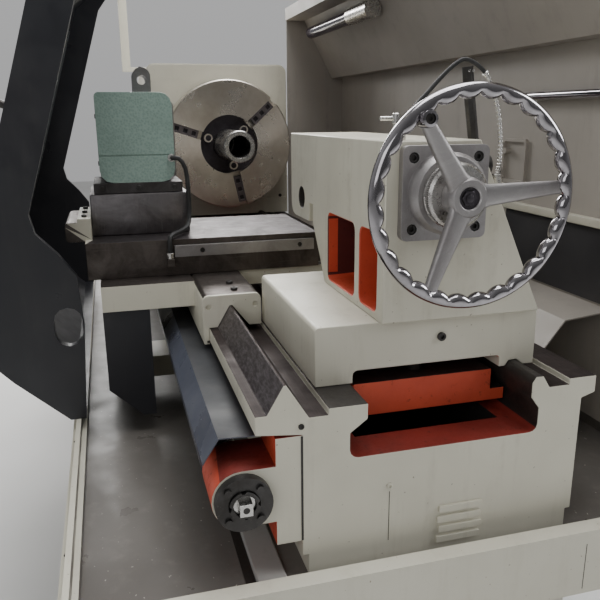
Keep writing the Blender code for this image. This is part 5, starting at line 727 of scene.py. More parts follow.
def curve_through(knots, per_span):
    """Points along a Catmull-Rom curve through the knots."""
    knots = [Vector(k) for k in knots]
    knots = [2 * knots[0] - knots[1], *knots, 2 * knots[-1] - knots[-2]]
    points = []
    for a, b, c, d in zip(knots, knots[1:], knots[2:], knots[3:]):
        for step in range(per_span):
            t = step / per_span
            bend, twist = 2 * a - 5 * b + 4 * c - d, 3 * b - a - 3 * c + d
            points.append((2 * b + (c - a) * t + bend * t**2 + twist * t**3) / 2)
    points.append(knots[-2])
    return points


def lines_of(node):
    """A node's lowest and highest corners in the lathe's lines."""
    low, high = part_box(node)
    return Vector(low) - LINES, Vector(high) - LINES


def round_of(x, radius, steps, centre=(0, 0)):
    """A circle of points across X. radius is a number or a function of the step."""
    reach = radius if callable(radius) else lambda step: radius
    ring = []
    for step in range(steps):
        angle = TAU * step / steps
        ring.append((x, centre[0] + reach(step) * math.cos(angle), centre[1] + reach(step) * math.sin(angle)))
    return ring


# ---- handwheel

WHEEL_RADIUS, WHEEL_RIM, WHEEL_PLANE = 0.1525, 0.0105, 0.033  # to the rim's middle, half its thickness, its place
SPOKES = (5, 125, 245)
LOBES, LOBE_STEPS, LOBE_ROUND = 28, 10, 0.65  # the grip's humps, and the dips between them
RIM_SIDES, RIM_FLANK, RIM_DIP, RIM_HUMP = 24, 0.7, 0.52, 0.72
# Along a spoke: reach from the axis, X of its middle, half its width, half its depth.
SPOKE_SHAPE = (
    (0.022, 0.014, 0.0205, 0.0095),
    (0.034, 0.0155, 0.0165, 0.0090),
    (0.060, 0.0185, 0.0150, 0.0082),
    (0.100, 0.0230, 0.0125, 0.0074),
    (0.132, 0.0275, 0.0105, 0.0068),
    (0.1460, 0.0305, 0.0100, 0.0066),
)
SPOKE_SIDES, SPOKE_SQUARE = 20, 0.62
HUB_BORE, HUB_OUTSIDE, HUB_LENGTH = 0.0155, 0.0310, 0.033
HUB_END = (  # radius, and place from the hub's end
    (0.0310, -0.012), (0.0295, -0.003), (0.0265, 0), (0.0185, 0), (0.0165, -0.002), (0.0165, -0.012),
    (0.0155, -0.012),
)  # fmt: skip
GRIP_INSET, GRIP_SCREW = 0.014, (0.0410, 0.0068, 0.0040)
GRIP_BOSS = ((0.013, 0.020), (0.013, 0.043), (0.0115, 0.046), (0.0075, 0.047), (0.0075, 0.041))
END_NUT = ((0.0122, -0.0003, True), (0.0122, 0.0022, True), (0.0108, 0.0028))  # from the screw's end
END_STUD = ((0.0062, 0.0020), (0.0062, 0.0040), (0.0048, 0.0046))
WASHER = (0.0195, 0.0122, -0.0002, 0.0006)
KEY_X, KEY_HALF, KEY_Z = (-0.0115, -0.002), 0.003, (0.0140, 0.0163)
TICKS, TICK_EDGE, TICK_HALF, TICK_REACH = 100, 0.0045, 0.00035, (0.0494, 0.0502)
LONG_TICK, MIDDLE_TICK, SHORT_TICK = 0.0115, 0.0085, 0.0055
KNURLS, KNURL_FOOT, KNURL_INSIDE, KNURL_HIGH, KNURL_LOW = 240, 0.0499, 0.049, 0.0011, 0.0003
# From the collar's start, and the share of the knurl's height there.
KNURL_PLACES = ((0.0008, 0), (0.0016, 1), (0.0050, 1), (0.0058, 0))


def make_rim():
    rings = []
    for step in range(LOBES * LOBE_STEPS):
        angle = TAU * step / (LOBES * LOBE_STEPS)
        hump = abs(math.sin(LOBES * angle / 2)) ** LOBE_ROUND
        ring = []
        for side in range(RIM_SIDES):
            around = TAU * side / RIM_SIDES
            inward = max(0.0, -math.cos(around))
            thick = WHEEL_RIM * (1 - inward**RIM_FLANK * (RIM_DIP - RIM_HUMP * hump))
            reach = WHEEL_RADIUS + thick * math.cos(around)
            x = WHEEL_PLANE + thick * math.sin(around)
            ring.append((x, reach * math.cos(angle), reach * math.sin(angle)))
        rings.append(ring)
    Build().skin(rings, True).piece("wheel_rim", CHROME, "handwheel", "chrome", 0, ("handwheel",))


def make_spokes(hub_start, hub_end):
    spokes = Build()
    for degrees in SPOKES:
        angle = math.radians(degrees)
        out = Vector((0, math.cos(angle), math.sin(angle)))
        across = Vector((0, -math.sin(angle), math.cos(angle)))
        rings = []
        for reach, middle, half, deep in SPOKE_SHAPE:
            ring = []
            for side in range(SPOKE_SIDES):
                turn = TAU * side / SPOKE_SIDES
                flat = math.copysign(abs(math.cos(turn)) ** SPOKE_SQUARE, math.cos(turn))
                tall = math.copysign(abs(math.sin(turn)) ** SPOKE_SQUARE, math.sin(turn))
                ring.append(out * reach + across * half * flat + Vector((middle + deep * tall, 0, 0)))
            rings.append(ring)
        spokes.skin(rings)
    hub = [(HUB_BORE, hub_start), (HUB_OUTSIDE, hub_start), *moved(HUB_END, hub_end)]
    spokes.turned("X", (0, 0), hub, 48, True)
    spokes.piece("wheel_hub_and_spokes", PALE_CAST, "handwheel", "chrome", 0, ("handwheel",))


def make_ticks(collar_end):
    ticks = Build()
    for tick in range(TICKS):
        angle = TAU * tick / TICKS
        long = LONG_TICK if tick % 10 == 0 else MIDDLE_TICK if tick % 5 == 0 else SHORT_TICK
        out = Vector((0, math.cos(angle), math.sin(angle)))
        side = Vector((0, -math.sin(angle), math.cos(angle))) * TICK_HALF
        points = []
        for x in (collar_end - TICK_EDGE - long, collar_end - TICK_EDGE):
            for reach in TICK_REACH:
                points += [out * reach - side + Vector((x, 0, 0)), out * reach + side + Vector((x, 0, 0))]
        ticks.add(points, BRICK)
    ticks.piece("collar_graduations", BLACK_STEEL, "handwheel", "dark_steel")


def make_knurl(collar_start):
    rings = []
    for place, share in KNURL_PLACES:
        heights = [KNURL_FOOT + share * height for height in (KNURL_LOW, KNURL_HIGH)]
        rings.append(round_of(collar_start + place, lambda step: heights[step % 2], KNURLS))
    for place in (KNURL_PLACES[-1][0], KNURL_PLACES[0][0]):
        rings.append(round_of(collar_start + place, KNURL_INSIDE, KNURLS))
    Build().skin(rings, True).piece("collar_knurl", BRIGHT, "handwheel", "ground_steel")


def make_handwheel():
    make_rim()
    collar_start, collar_end = (corner.x for corner in lines_of("graduated_collar"))
    hub_end = collar_end + CLEAR + HUB_LENGTH
    make_spokes(collar_end + CLEAR, hub_end)
    grip = math.radians(SPOKES[1])
    reach = WHEEL_RADIUS - GRIP_INSET
    centre = (reach * math.cos(grip), reach * math.sin(grip))
    boss = Build().turned("X", centre, GRIP_BOSS, 32)
    boss.piece("grip_boss", CHROME, "handwheel", "chrome", 0, ("handwheel",))
    screws("grip_boss_screw", "handwheel", "X", *GRIP_SCREW, [centre])
    end = lines_of("tailstock_screw")[1].x
    # The end nut and washer sit in the hub's recess and take its painted shade.
    nut = Build().turned("X", (0, 0), moved(END_NUT, end)).turned("X", (0, 0), moved(END_STUD, end))
    nut.piece("screw_end_nut", RECESS_IN_SHADE, "handwheel", "dark_steel", 0.0002)
    outer, inner, low, high = WASHER
    washer = Build().ring("X", (0, 0), outer, inner, end + low, end + high)
    washer.piece("hub_recess_washer", RECESS_IN_SHADE, "handwheel", "dark_steel")
    key = Build().box([hub_end + x for x in KEY_X], (-KEY_HALF, KEY_HALF), KEY_Z)
    key.piece("hub_key", BLACK_STEEL, "handwheel", "dark_steel", 0.0003)
    make_ticks(collar_end)
    make_knurl(collar_start)


# ---- tailstock

CONDUIT_ROUTE = (
    (-0.100, -0.0600, 0.0815), (-0.100, -0.0598, 0.0900), (-0.100, -0.0560, 0.1040), (-0.101, -0.040, 0.1260),
    (-0.102, -0.012, 0.1540), (-0.103, 0.010, 0.1760), (-0.104, 0.034, 0.1960), (-0.104, 0.052, 0.2020),
    (-0.102, 0.076, 0.1900), (-0.102, 0.093, 0.1700), (-0.102, 0.107, 0.1400), (-0.103, 0.117, 0.1050),
    (-0.104, 0.122, 0.0700), (-0.104, 0.1225, 0.0400), (-0.104, 0.1202, 0.0180), (-0.104, 0.120, 0.0080),
)  # fmt: skip
SLEEVE_SHARE = 0.56  # of the conduit's route; the ribbed spiral takes the rest
SLEEVE_RADIUS, RIB_RADIUS, GROOVE_RADIUS, FERRULE_RADIUS = 0.0034, 0.0042, 0.0031, 0.0052
TOP_FITTING = (
    (0.0095, 0.0803), (0.0095, 0.087), (0.0088, 0.0875, True), (0.0088, 0.0925, True), (0.0060, 0.0935)
)  # fmt: skip
REAR_FITTING = (
    (0.0080, 0.0072), (0.0080, 0.0160), (0.0092, 0.0165, True), (0.0092, 0.0215, True), (0.0062, 0.0225)
)  # fmt: skip
FLANGE_SCREWS, FLANGE_FACE = (-0.055, 0.055), -0.0615
LEVER_PIN = ((0.0020, -0.1222), (0.0020, -0.1201), (0.0012, -0.1197))
LEVER_PIN_Y, LEVER_PIN_Z = (0.0665, 0.0745), 0.1860
OILER_PLACE = (-0.150, -0.045)
OILER_CUP = (
    (0.0085, 0.0795), (0.0085, 0.084), (0.0050, 0.085), (0.0050, 0.104), (0.0065, 0.105), (0.0065, 0.120),
    (0.0050, 0.1215),
)  # fmt: skip
OILER_PIN, OILER_PIN_Z = ((0.0030, -0.0400), (0.0036, -0.0520), (0.0036, -0.0720), (0.0026, -0.0735)), 0.1130
# A thin step of primer on the window's jamb.
JAMB_LIP = ((-0.3573, -0.3566), (-0.0930, -0.0740), (-0.1920, -0.0720))


def make_conduit():
    path = curve_through(CONDUIT_ROUTE, 20)
    split = int(len(path) * SLEEVE_SHARE)
    sleeve = Build().tube(path[: split + 1], SLEEVE_RADIUS)
    sleeve.piece("conduit_sleeve", RUBBER, "tailstock", "dark_steel", 0, ("tailstock_conduit",))
    ribbed = Build().tube(path[split:], lambda index: RIB_RADIUS if index % 4 in (1, 2) else GROOVE_RADIUS, 14)
    ribbed.piece("conduit_spiral", BRIGHT, "tailstock", "dark_steel", 0, ("tailstock_conduit",))
    ends = Build().turned("Z", CONDUIT_ROUTE[0][:2], TOP_FITTING).turned("Z", CONDUIT_ROUTE[-1][:2], REAR_FITTING)
    ends.tube([path[split + 1], path[split + 5]], FERRULE_RADIUS, 16)
    ends.piece("conduit_fittings", BRIGHT, "tailstock", "dark_steel", 0.0003)


def make_tailstock_details():
    screws("flange_screws", "tailstock", "X", FLANGE_FACE, 0.0076, 0.0062, product(FLANGE_SCREWS, FLANGE_SCREWS))
    make_conduit()
    pins = Build()
    for y in LEVER_PIN_Y:
        pins.turned("X", (y, LEVER_PIN_Z), LEVER_PIN, 12)
    pins.piece("lever_pins", BRIGHT, "clamp_lever", "ground_steel")
    oiler = Build().turned("Z", OILER_PLACE, OILER_CUP)
    oiler.turned("Y", (OILER_PLACE[0], OILER_PIN_Z), OILER_PIN, 16)
    oiler.piece("oil_cup", BRIGHT, "tailstock", "ground_steel")
    Build().box(*JAMB_LIP).piece("window_jamb_lip", ORANGE, "tailstock", "orange_primer")
    screws("offset_screw", "tailstock", "X", -0.0830, 0.0075, 0.005, [(0.020, -0.2465)])


# ---- bed and lead screw

SLATS, SLAT_LOW, SLAT_PITCH, SLAT_HEIGHT, SLAT_Y, SLAT_LENGTH = 4, -0.5865, 0.0190, 0.0120, -0.016, 0.081
SLAT_JOG = 0.003  # every second slat stands this much to the rear
SEAM_Y, SEAM_Z = (-0.2528, -0.2492), (-0.5380, -0.3560)  # between the bed and the screw's bracket
GUTTER_X = (-1.100, 0.050)
GUTTER_STRIP = (
    (-0.3275, -0.6044), (-0.2780, -0.6044), (-0.2780, -0.5990), (-0.2800, -0.5970), (-0.3250, -0.5970),
    (-0.3275, -0.5990),
)  # fmt: skip
LEAD_SCREW = (-0.346, -0.449)
NUT_STEPS, NUT_OUTSIDE, NUT_NOTCH, NUT_INSIDE, NUT_X = 48, 0.0240, 0.0205, 0.0180, (-0.0075, -0.0005)
CENTRE_HOLE = ((0.0052, -0.0002), (0.0052, 0.0002), (0.0030, 0.0003), (0.0022, 0.0001))


def make_ring_nut():
    end = lines_of("screw_bearing_cap")[1].x

    def outside(step):
        return NUT_NOTCH if step % 12 in (0, 1) else NUT_OUTSIDE

    rings = [round_of(end + place, outside, NUT_STEPS, LEAD_SCREW) for place in NUT_X]
    rings += [round_of(end + place, NUT_INSIDE, NUT_STEPS, LEAD_SCREW) for place in reversed(NUT_X)]
    Build().skin(rings, True).piece("ring_nut", BLACK_STEEL, "z_screw", "dark_steel", 0.0003)


def make_bed_details():
    slats = Build()
    for number in range(SLATS):
        z = SLAT_LOW + number * SLAT_PITCH
        y = SLAT_Y + SLAT_JOG * (number % 2)
        slats.prism("X", (-0.0003, 0.0045), rounded((y, y + SLAT_LENGTH), (z, z + SLAT_HEIGHT), 0.002))
    slats.piece("bed_end_slats", CREAM_CAST, "machine", "cream_paint", 0.0006)
    plug = (-0.103, -0.465)
    screws("bed_end_screw", "machine", "X", -0.0002, 0.0052, 0.0024, [plug], CREAM_CAST, "cream_paint")
    screws("bed_flange_screw", "machine", "X", -0.0002, 0.0048, 0.0016, [(-0.252, -0.3395)])
    # Painted shade: a dark block fills the groove between the bracket and the bed.
    groove = Build().box((-0.0990, 0.0003), SEAM_Y, SEAM_Z)
    groove.piece("bracket_seam", SHADE_BLACK_IRON, "machine", "dark_steel")
    # Painted shade: a dark strip on the pan floor stands for the gap along it.
    gutter = Build().box(GUTTER_X, (-0.3440, -0.3280), (-0.6046, -0.6034))
    gutter.piece("pan_gutter", SHADE_BLACK_IRON, "machine", "dark_steel")
    Build().prism("X", GUTTER_X, GUTTER_STRIP).piece("pan_gutter_strip", GREY, "machine", "grey_sheet", 0.001)
    seam = Build().box((-0.0004, 0.0004), (-0.1036, -0.1026), (-0.566, -0.475))
    seam.piece("bed_end_seam", SHADE_BLACK_IRON, "machine", "dark_steel")
    make_ring_nut()
    # Painted shade: the dark inside of the screw's centre hole.
    hole = Build().turned("X", LEAD_SCREW, moved(CENTRE_HOLE, lines_of("z_ball_screw")[1].x))
    hole.piece("screw_centre_hole", SHADE_BLACK_IRON, "z_screw", "dark_steel")


# ---- turret, slide and saddle

TOP_HOSE_END, LOW_HOSE_END = (-0.3545, 0.0218), (-0.6710, -0.3795)
TOP_HOSE_FITTING = ((0.0095, -0.7849), (0.0095, -0.7800), (0.0085, -0.7798, True), (0.0085, -0.7760, True))
LOW_HOSE_FITTING = (
    (0.0085, -0.2024), (0.0085, -0.1955), (0.0092, -0.1950, True), (0.0092, -0.1900, True), (0.0066, -0.1890)
)  # fmt: skip
SLOT_SCREWS = tuple(product((-1.0585, -1.0405), (0.120, -0.004)))
TOP_SLOT_X, TOP_SLOT_Y = -1.0200, (-0.470, -0.424, -0.378)
BAR_X, BAR_Y, BAR_SET_SCREW = (-1.075, -1.045), -0.401, ((0.0045, 0.2435), (0.0045, 0.2462), (0.0036, 0.2470))
SERVO_X, SERVO_SOCKET = -0.848, ((0.020, -0.0005), (0.020, 0.010), (0.016, 0.013), (0.010, 0.013))


def make_turret_details():
    low, high = lines_of("turret_base")
    places = product((low.y + 0.020, (low.y + high.y) / 2, high.y - 0.020), [(low.z + high.z) / 2])
    screws("turret_screws", "cross_slide", "X", high.x - 0.0002, 0.0060, 0.0045, places)
    gib_end = lines_of("slide_gib")[1].x
    places = product((-0.304, -0.066), [-0.1865])
    screws("gib_screws", "cross_slide", "X", gib_end - 0.0050, 0.0052, 0.0042, places)
    ends = Build().turned("X", TOP_HOSE_END, TOP_HOSE_FITTING).turned("Z", LOW_HOSE_END, LOW_HOSE_FITTING)
    ends.piece("hose_fittings", BRIGHT, "cross_slide", "ground_steel", 0.0003)
    clamp = Build()
    for place in SLOT_SCREWS:
        clamp.head("Y", -0.5236, place, 0.0060, -0.0050)
    for y in TOP_SLOT_Y:
        clamp.head("Z", 0.1568, (TOP_SLOT_X, y), 0.0058, 0.0060)
    clamp.piece("tool_clamp_screws", BLACK_STEEL, "turret_head", "dark_steel")
    bar = Build().head("X", lines_of("boring_bar_holder")[1].x - 0.0002, (-0.416, 0.176), 0.0042, 0.003)
    for x in BAR_X:
        bar.turned("Z", (x, BAR_Y), BAR_SET_SCREW, 16)
    bar.piece("bar_set_screws", BLACK_STEEL, "turret_head", "dark_steel")
    places = product((-0.925, -0.848, -0.770), [-0.568])
    screws("slide_cap_screws", "cross_slide", "Z", -0.1102, 0.0062, 0.005, places)


def make_saddle_details():
    low, high = lines_of("way_wiper")
    x, y, z = (high.x - 0.0005, high.x + 0.0012), (low.y + 0.006, high.y - 0.004), (low.z + 0.003, low.z + 0.008)
    felt = Build().box(x, y, z)
    felt.piece("wiper_felt_strip", FELT, "carriage", "black_rubber", 0.0004)
    places = product((-0.500, -0.560, -1.190, -1.130), (-0.262, 0.262))
    screws("saddle_screws", "carriage", "Z", -0.2452, 0.0075, 0.0060, places)
    low, high = lines_of("x_servo_motor")
    socket = Build().turned("Z", (SERVO_X, (low.y + high.y) / 2), moved(SERVO_SOCKET, high.z), 32)
    socket.piece("servo_socket", BLACK_STEEL, "carriage", "dark_steel")


# ---- headstock and guards

BOSS_ANGLES, BOSS_REACH = (162, 42, 282), 0.090
BOSS_SOCKET = ((0.0118, -2.0243), (0.0118, -2.0236), (0.0106, -2.0233))
VENTS, VENT_LOW, VENT_PITCH, VENT_HEIGHT, VENT_HALF = 14, -0.900, 0.020, 0.009, 0.110
OPENING_X, OPENING_Z = (-0.742, 0.056), (-0.300, -0.134)
SILL_X = (-0.756, 0.056)
SILL = ((0.5485, -0.132), (0.5360, -0.130), (0.5345, -0.119), (0.5350, -0.112), (0.5485, -0.110))
HATCH_PIN, HATCH_HINGES, HATCH_HALF = (-0.780, 0.5390), (-0.040, 0.030), 0.014


def make_headstock_details():
    # Painted shade: a dark disc at the floor of each boss's socket.
    sockets = Build()
    for degrees in BOSS_ANGLES:
        angle = math.radians(degrees)
        sockets.turned("X", (BOSS_REACH * math.cos(angle), BOSS_REACH * math.sin(angle)), BOSS_SOCKET)
    sockets.piece("boss_sockets", RECESS_IN_SHADE, "spindle", "dark_steel")
    face = lines_of("headstock_guard")[1].x
    screws("guard_screws", "machine", "X", face - 0.0003, 0.0070, 0.0045, ((0.252, -0.237), (-0.290, -0.225)))
    low, high = lines_of("belt_cover")
    places = product((low.y + 0.040, high.y - 0.040), (low.z + 0.060, (low.z + high.z) / 2, high.z - 0.060))
    screws("belt_cover_screws", "machine", "X", low.x + 0.0032, 0.0065, -0.0030, places)
    vents = Build()
    for number in range(VENTS):
        z = VENT_LOW + number * VENT_PITCH
        slot = rounded((-VENT_HALF, VENT_HALF), (z, z + VENT_HEIGHT), 0.004)
        vents.prism("X", (low.x + 0.0004, low.x + 0.0032), slot)
    vents.piece("belt_cover_louvres", CREAM, "machine", "cream_paint", 0.0008)


def make_guard_details():
    # Painted shade: the dark opening low in the rear guard is a thin plate on its wall, not a hole.
    panel = Build().prism("Y", (0.5462, 0.5485), rounded(OPENING_X, OPENING_Z, 0.006))
    panel.piece("guard_opening_shade", OPENING_SHADE, "machine", "dark_sheet")
    Build().prism("X", SILL_X, SILL).piece("guard_sill", CREAM, "machine", "cream_paint", 0.0008)
    hinges = Build()
    for z in HATCH_HINGES:
        hinges.turned("Z", HATCH_PIN, [(0.0048, z - HATCH_HALF), (0.0048, z + HATCH_HALF)], 16)
    hinges.piece("hatch_hinges", BLACK_STEEL, "machine", "dark_steel", 0.0004)


# ---- door

DOOR_FOOT, DOOR_HEAD = Vector((-0.831, -0.291)), Vector((-0.580, 0.510))  # Y and Z of its sloping outer face
DOOR_ALONG = (DOOR_HEAD - DOOR_FOOT).normalized()
DOOR_OUT = Vector((-DOOR_ALONG.y, DOOR_ALONG.x))
DOOR_WINDOW_X, DOOR_WINDOW_Z = (-1.860, -0.740), (-0.060, 0.400)
SEAL_WIDTH, SEAL_CORNER, SEAL_LIFT = 0.016, 0.03, (-0.0004, 0.0040)
WINDOW_SCREWS, SCREW_ROW, SCREW_OUT = 7, 1.18, (0.030, 0.032)
WINDOW_SCREW, SCREW_SQUASH = ((0.0065, -0.0004), (0.0060, 0.0018), (0.0036, 0.0026)), 0.95
GRIP_X, GRIP_RADIUS, GRIP_CLEAR = -0.672, 0.0085, 0.009
GRIP_PATH = ((-0.052, 0.0), (-0.050, 0.030), (-0.030, 0.042), (0.120, 0.042), (0.140, 0.030), (0.142, 0.0))


def on_door(x, level, lift):
    """A point at this height on the door's sloping face, lifted off it."""
    place = DOOR_FOOT + DOOR_ALONG * ((level - DOOR_FOOT.y) / DOOR_ALONG.y) + DOOR_OUT * lift
    return (x, place.x, place.y)


def make_door_details():
    rings = []
    sides = ((SEAL_LIFT[0], 0), (SEAL_LIFT[0], SEAL_WIDTH), (SEAL_LIFT[1], SEAL_WIDTH), (SEAL_LIFT[1], 0))
    for lift, grow in sides:
        outline = rounded(DOOR_WINDOW_X, DOOR_WINDOW_Z, SEAL_CORNER + grow, grow)
        rings.append([on_door(x, z, lift) for x, z in outline])
    Build().skin(rings, True).piece("window_seal", RUBBER, "door", "black_rubber", 0.001)
    heads = Build()
    for number in range(WINDOW_SCREWS):
        x = DOOR_WINDOW_X[0] - SCREW_OUT[0] + number * (SCREW_ROW / (WINDOW_SCREWS - 1))
        for z in (DOOR_WINDOW_Z[0] - SCREW_OUT[1], DOOR_WINDOW_Z[1] + SCREW_OUT[1]):
            rings = []
            for radius, lift in WINDOW_SCREW:
                turns = [TAU * step / 16 for step in range(16)]
                tall = SCREW_SQUASH * radius
                rings.append([on_door(x + radius * math.cos(t), z + tall * math.sin(t), lift) for t in turns])
            heads.skin(rings)
    heads.piece("window_screws", BRIGHT, "door", "ground_steel")
    nearest = cad_box[0][1] - LINES.y + GRIP_CLEAR
    path = curve_through([on_door(GRIP_X, z, lift) for z, lift in GRIP_PATH], 6)
    grip = Build().tube([(x, max(y, nearest), z) for x, y, z in path], GRIP_RADIUS, 16)
    grip.piece("door_grip", BLACK_STEEL, "door", "dark_steel")


# ---- control panel

PANEL_Y = -0.500
BUTTON_X, BUTTON_Z, BUTTON_PITCH, BUTTON_DROP = -2.500, 0.165, 0.030, 0.035
BUTTON_COLUMNS, BUTTON_ROWS = 4, 2
BUTTON = ((0.0088, 0), (0.0088, -0.0045), (0.0070, -0.0058))
KEY_COLUMNS, KEY_ROWS, KEY_LEFT, KEY_TOP, KEY_PITCH, KEY_SIDE = 9, 5, -2.742, 0.006, 0.0205, 0.0165
DIALS, DIAL_Z, DIAL_STEPS, FLUTE, FLUTED_UNDER = (-2.485, -2.425), 0.055, 48, 0.06, 0.016
DIAL_SHAPE = ((0, 0.021), (-0.006, 0.021), (-0.007, 0.015), (-0.018, 0.0135), (-0.0195, 0.011))
MARKS, MARK_START, MARK_STEP, MARK_REACH, MARK_RADIUS = 13, 225, 22.5, 0.0262, 0.0014
PANE_X, PANE_Z = (-2.739, -2.561), (0.041, 0.179)


def add_dial(dials, x):
    rows = []
    for place, reach in DIAL_SHAPE:
        ring = []
        for step in range(DIAL_STEPS):
            angle = TAU * step / DIAL_STEPS
            fluted = reach * (1 - (FLUTE if step % 4 == 0 and reach < FLUTED_UNDER else 0))
            ring.append((x + fluted * math.cos(angle), PANEL_Y + place, DIAL_Z + fluted * math.sin(angle)))
        rows.append(ring)
    dials.skin(rows)
    pointer = (PANEL_Y - 0.0199, PANEL_Y - 0.0190)
    dials.box((x - 0.0008, x + 0.0008), pointer, (DIAL_Z + 0.0005, DIAL_Z + 0.0105))
    for mark in range(MARKS):
        angle = math.radians(MARK_START - mark * MARK_STEP)
        place = (x + MARK_REACH * math.cos(angle), DIAL_Z + MARK_REACH * math.sin(angle))
        dials.turned("Y", place, [(MARK_RADIUS, PANEL_Y + 0.0002), (MARK_RADIUS, PANEL_Y - 0.0006)], 8)


def make_control_details():
    buttons = Build()
    rings = Build()
    for row, column in product(range(BUTTON_ROWS), range(BUTTON_COLUMNS)):
        place = (BUTTON_X + column * BUTTON_PITCH, BUTTON_Z - row * BUTTON_DROP)
        rings.ring("Y", place, 0.0115, 0.0090, PANEL_Y - 0.0022, PANEL_Y + 0.0005)
        buttons.turned("Y", place, moved(BUTTON, PANEL_Y))
    rings.piece("button_rings", BRIGHT, "machine", "ground_steel")
    buttons.piece("panel_buttons", KEYS, "machine", "grey_sheet")
    keys = Build()
    for row, column in product(range(KEY_ROWS), range(KEY_COLUMNS)):
        x = KEY_LEFT + column * KEY_PITCH
        z = KEY_TOP - row * KEY_PITCH
        outline = rounded((x, x + KEY_SIDE), (z - KEY_SIDE, z), 0.003)
        keys.prism("Y", (PANEL_Y + 0.0003, PANEL_Y - 0.0035), outline)
    keys.piece("panel_keys", KEYS, "machine", "grey_sheet", 0.0008)
    dials = Build()
    for x in DIALS:
        add_dial(dials, x)
    dials.piece("feed_dials", RUBBER, "machine", "black_rubber")
    pane = Build().prism("Y", (PANEL_Y + 0.0032, PANEL_Y + 0.0012), rounded(PANE_X, PANE_Z, 0.004))
    pane.piece("screen_pane", SCREEN, "machine", "window_pane", 0.0004)
    places = product((-2.751, -2.349), (-0.109, 0.194))
    screws("panel_screws", "machine", "Y", PANEL_Y + 0.0003, 0.0045, -0.0028, places, BRIGHT, "ground_steel")


# ---- cabinet, tank and pan

LOUVRES, LOUVRE_X, LOUVRE_LENGTH, LOUVRE_HEIGHT, LOUVRE_PITCH = 12, (-2.640, -2.240), 0.180, 0.008, 0.018
LOUVRE_BLOCKS = (-0.840, -0.020)  # the lowest slot of each block
CABINET_HINGES, HINGE_HALF = (-0.780, -0.300, 0.180), 0.030
LOCK_Z, LOCK_BARREL_Z = (-0.420, -0.300), -0.325
LOCK_BARREL = ((0.008, -0.0012), (0.008, -0.0004), (0.006, -0.0002))
PUMP, FINS, FIN_LOW, FIN_PITCH, FIN_HEIGHT = (-0.900, 0.400), 7, -0.835, 0.012, 0.005
PUMP_BOLTS = tuple(product((-0.970, -0.830), (0.330, 0.470)))
RAIL_SCREWS, RAIL_START, RAIL_PITCH, RAIL_Y = 7, -0.120, 0.420, -0.6205
RAIL_SCREW = ((0.0040, -0.5752), (0.0040, -0.5738), (0.0030, -0.5732))
DRAIN, DRAIN_BARS, DRAIN_INSIDE = (-1.200, 0.420), (-0.026, -0.013, 0.0, 0.013, 0.026), 0.0405


def make_cabinet_details():
    low, high = lines_of("electrical_cabinet")
    back = high.y
    louvres = Build()
    for block, number, x in product(LOUVRE_BLOCKS, range(LOUVRES), LOUVRE_X):
        z = block + number * LOUVRE_PITCH
        slot = rounded((x, x + LOUVRE_LENGTH), (z, z + LOUVRE_HEIGHT), 0.0035)
        louvres.prism("Y", (back - 0.0045, back - 0.0006), slot)
    louvres.piece("cabinet_louvres", CREAM, "machine", "cream_paint", 0.0008)
    hinges = Build()
    for z in CABINET_HINGES:
        pin = [(0.0055, z - HINGE_HALF), (0.0055, z + HINGE_HALF)]
        hinges.turned("Z", (low.x + 0.024, back - 0.006), pin, 16)
    hinges.piece("cabinet_hinges", BLACK_STEEL, "machine", "dark_steel", 0.0005)
    plate = rounded((high.x - 0.085, high.x - 0.060), LOCK_Z, 0.008)
    lock = Build().prism("Y", (back - 0.0050, back - 0.0010), plate)
    lock.turned("Y", (high.x - 0.0725, LOCK_BARREL_Z), moved(LOCK_BARREL, back))
    lock.piece("cabinet_lock", BLACK_STEEL, "machine", "dark_steel", 0.0006)


def make_tank_details():
    fins = Build()
    for number in range(FINS):
        z = FIN_LOW + number * FIN_PITCH
        fins.ring("Z", PUMP, 0.0635, 0.0585, z, z + FIN_HEIGHT, 48)
    fins.piece("pump_fins", MOTOR, "machine", "motor_black")
    box = Build().prism("Z", (-0.800, -0.745), rounded((-0.862, -0.834), (0.372, 0.428), 0.006))
    box.piece("pump_terminal_box", MOTOR, "machine", "motor_black", 0.002)
    bolts = Build()
    for place in PUMP_BOLTS:
        bolts.head("Z", -0.8502, place, 0.0060, 0.006, BOLT_HEAD)
    bolts.piece("pump_bolts", BRIGHT, "machine", "ground_steel")
    level = Build().prism("Y", (-0.4205, -0.4170), rounded((-1.260, -1.235), (-1.020, -0.900), 0.008))
    level.piece("tank_level_glass", SCREEN, "machine", "window_pane", 0.001)


def make_pan_details():
    edge = lines_of("chip_pan")[1].x
    seam = Build().box((edge - 0.0010, edge + 0.0001), (0.2412, 0.2428), (-0.690, -0.600))
    seam.piece("pan_seam", FELT, "machine", "black_rubber")
    rail = Build()
    for number in range(RAIL_SCREWS):
        rail.turned("Z", (RAIL_START - number * RAIL_PITCH, RAIL_Y), RAIL_SCREW, 12)
    rail.piece("rail_screws", BLACK_STEEL, "machine", "dark_steel")
    grate = Build().ring("Z", DRAIN, 0.052, 0.0395, -0.6044, -0.6022, 48)
    for offset in DRAIN_BARS:
        half = math.sqrt(DRAIN_INSIDE**2 - offset**2)
        bar = (DRAIN[1] + offset - 0.002, DRAIN[1] + offset + 0.002)
        grate.box((DRAIN[0] - half, DRAIN[0] + half), bar, (-0.6042, -0.6024))
    grate.piece("drain_grate", BRIGHT, "machine", "ground_steel", 0.0004)


make_handwheel()
make_tailstock_details()
make_bed_details()
make_turret_details()
make_saddle_details()
make_headstock_details()
make_guard_details()
make_door_details()
make_control_details()
make_cabinet_details()
make_tank_details()
make_pan_details()

# ---- floor and light

FLOOR_HALF = 12
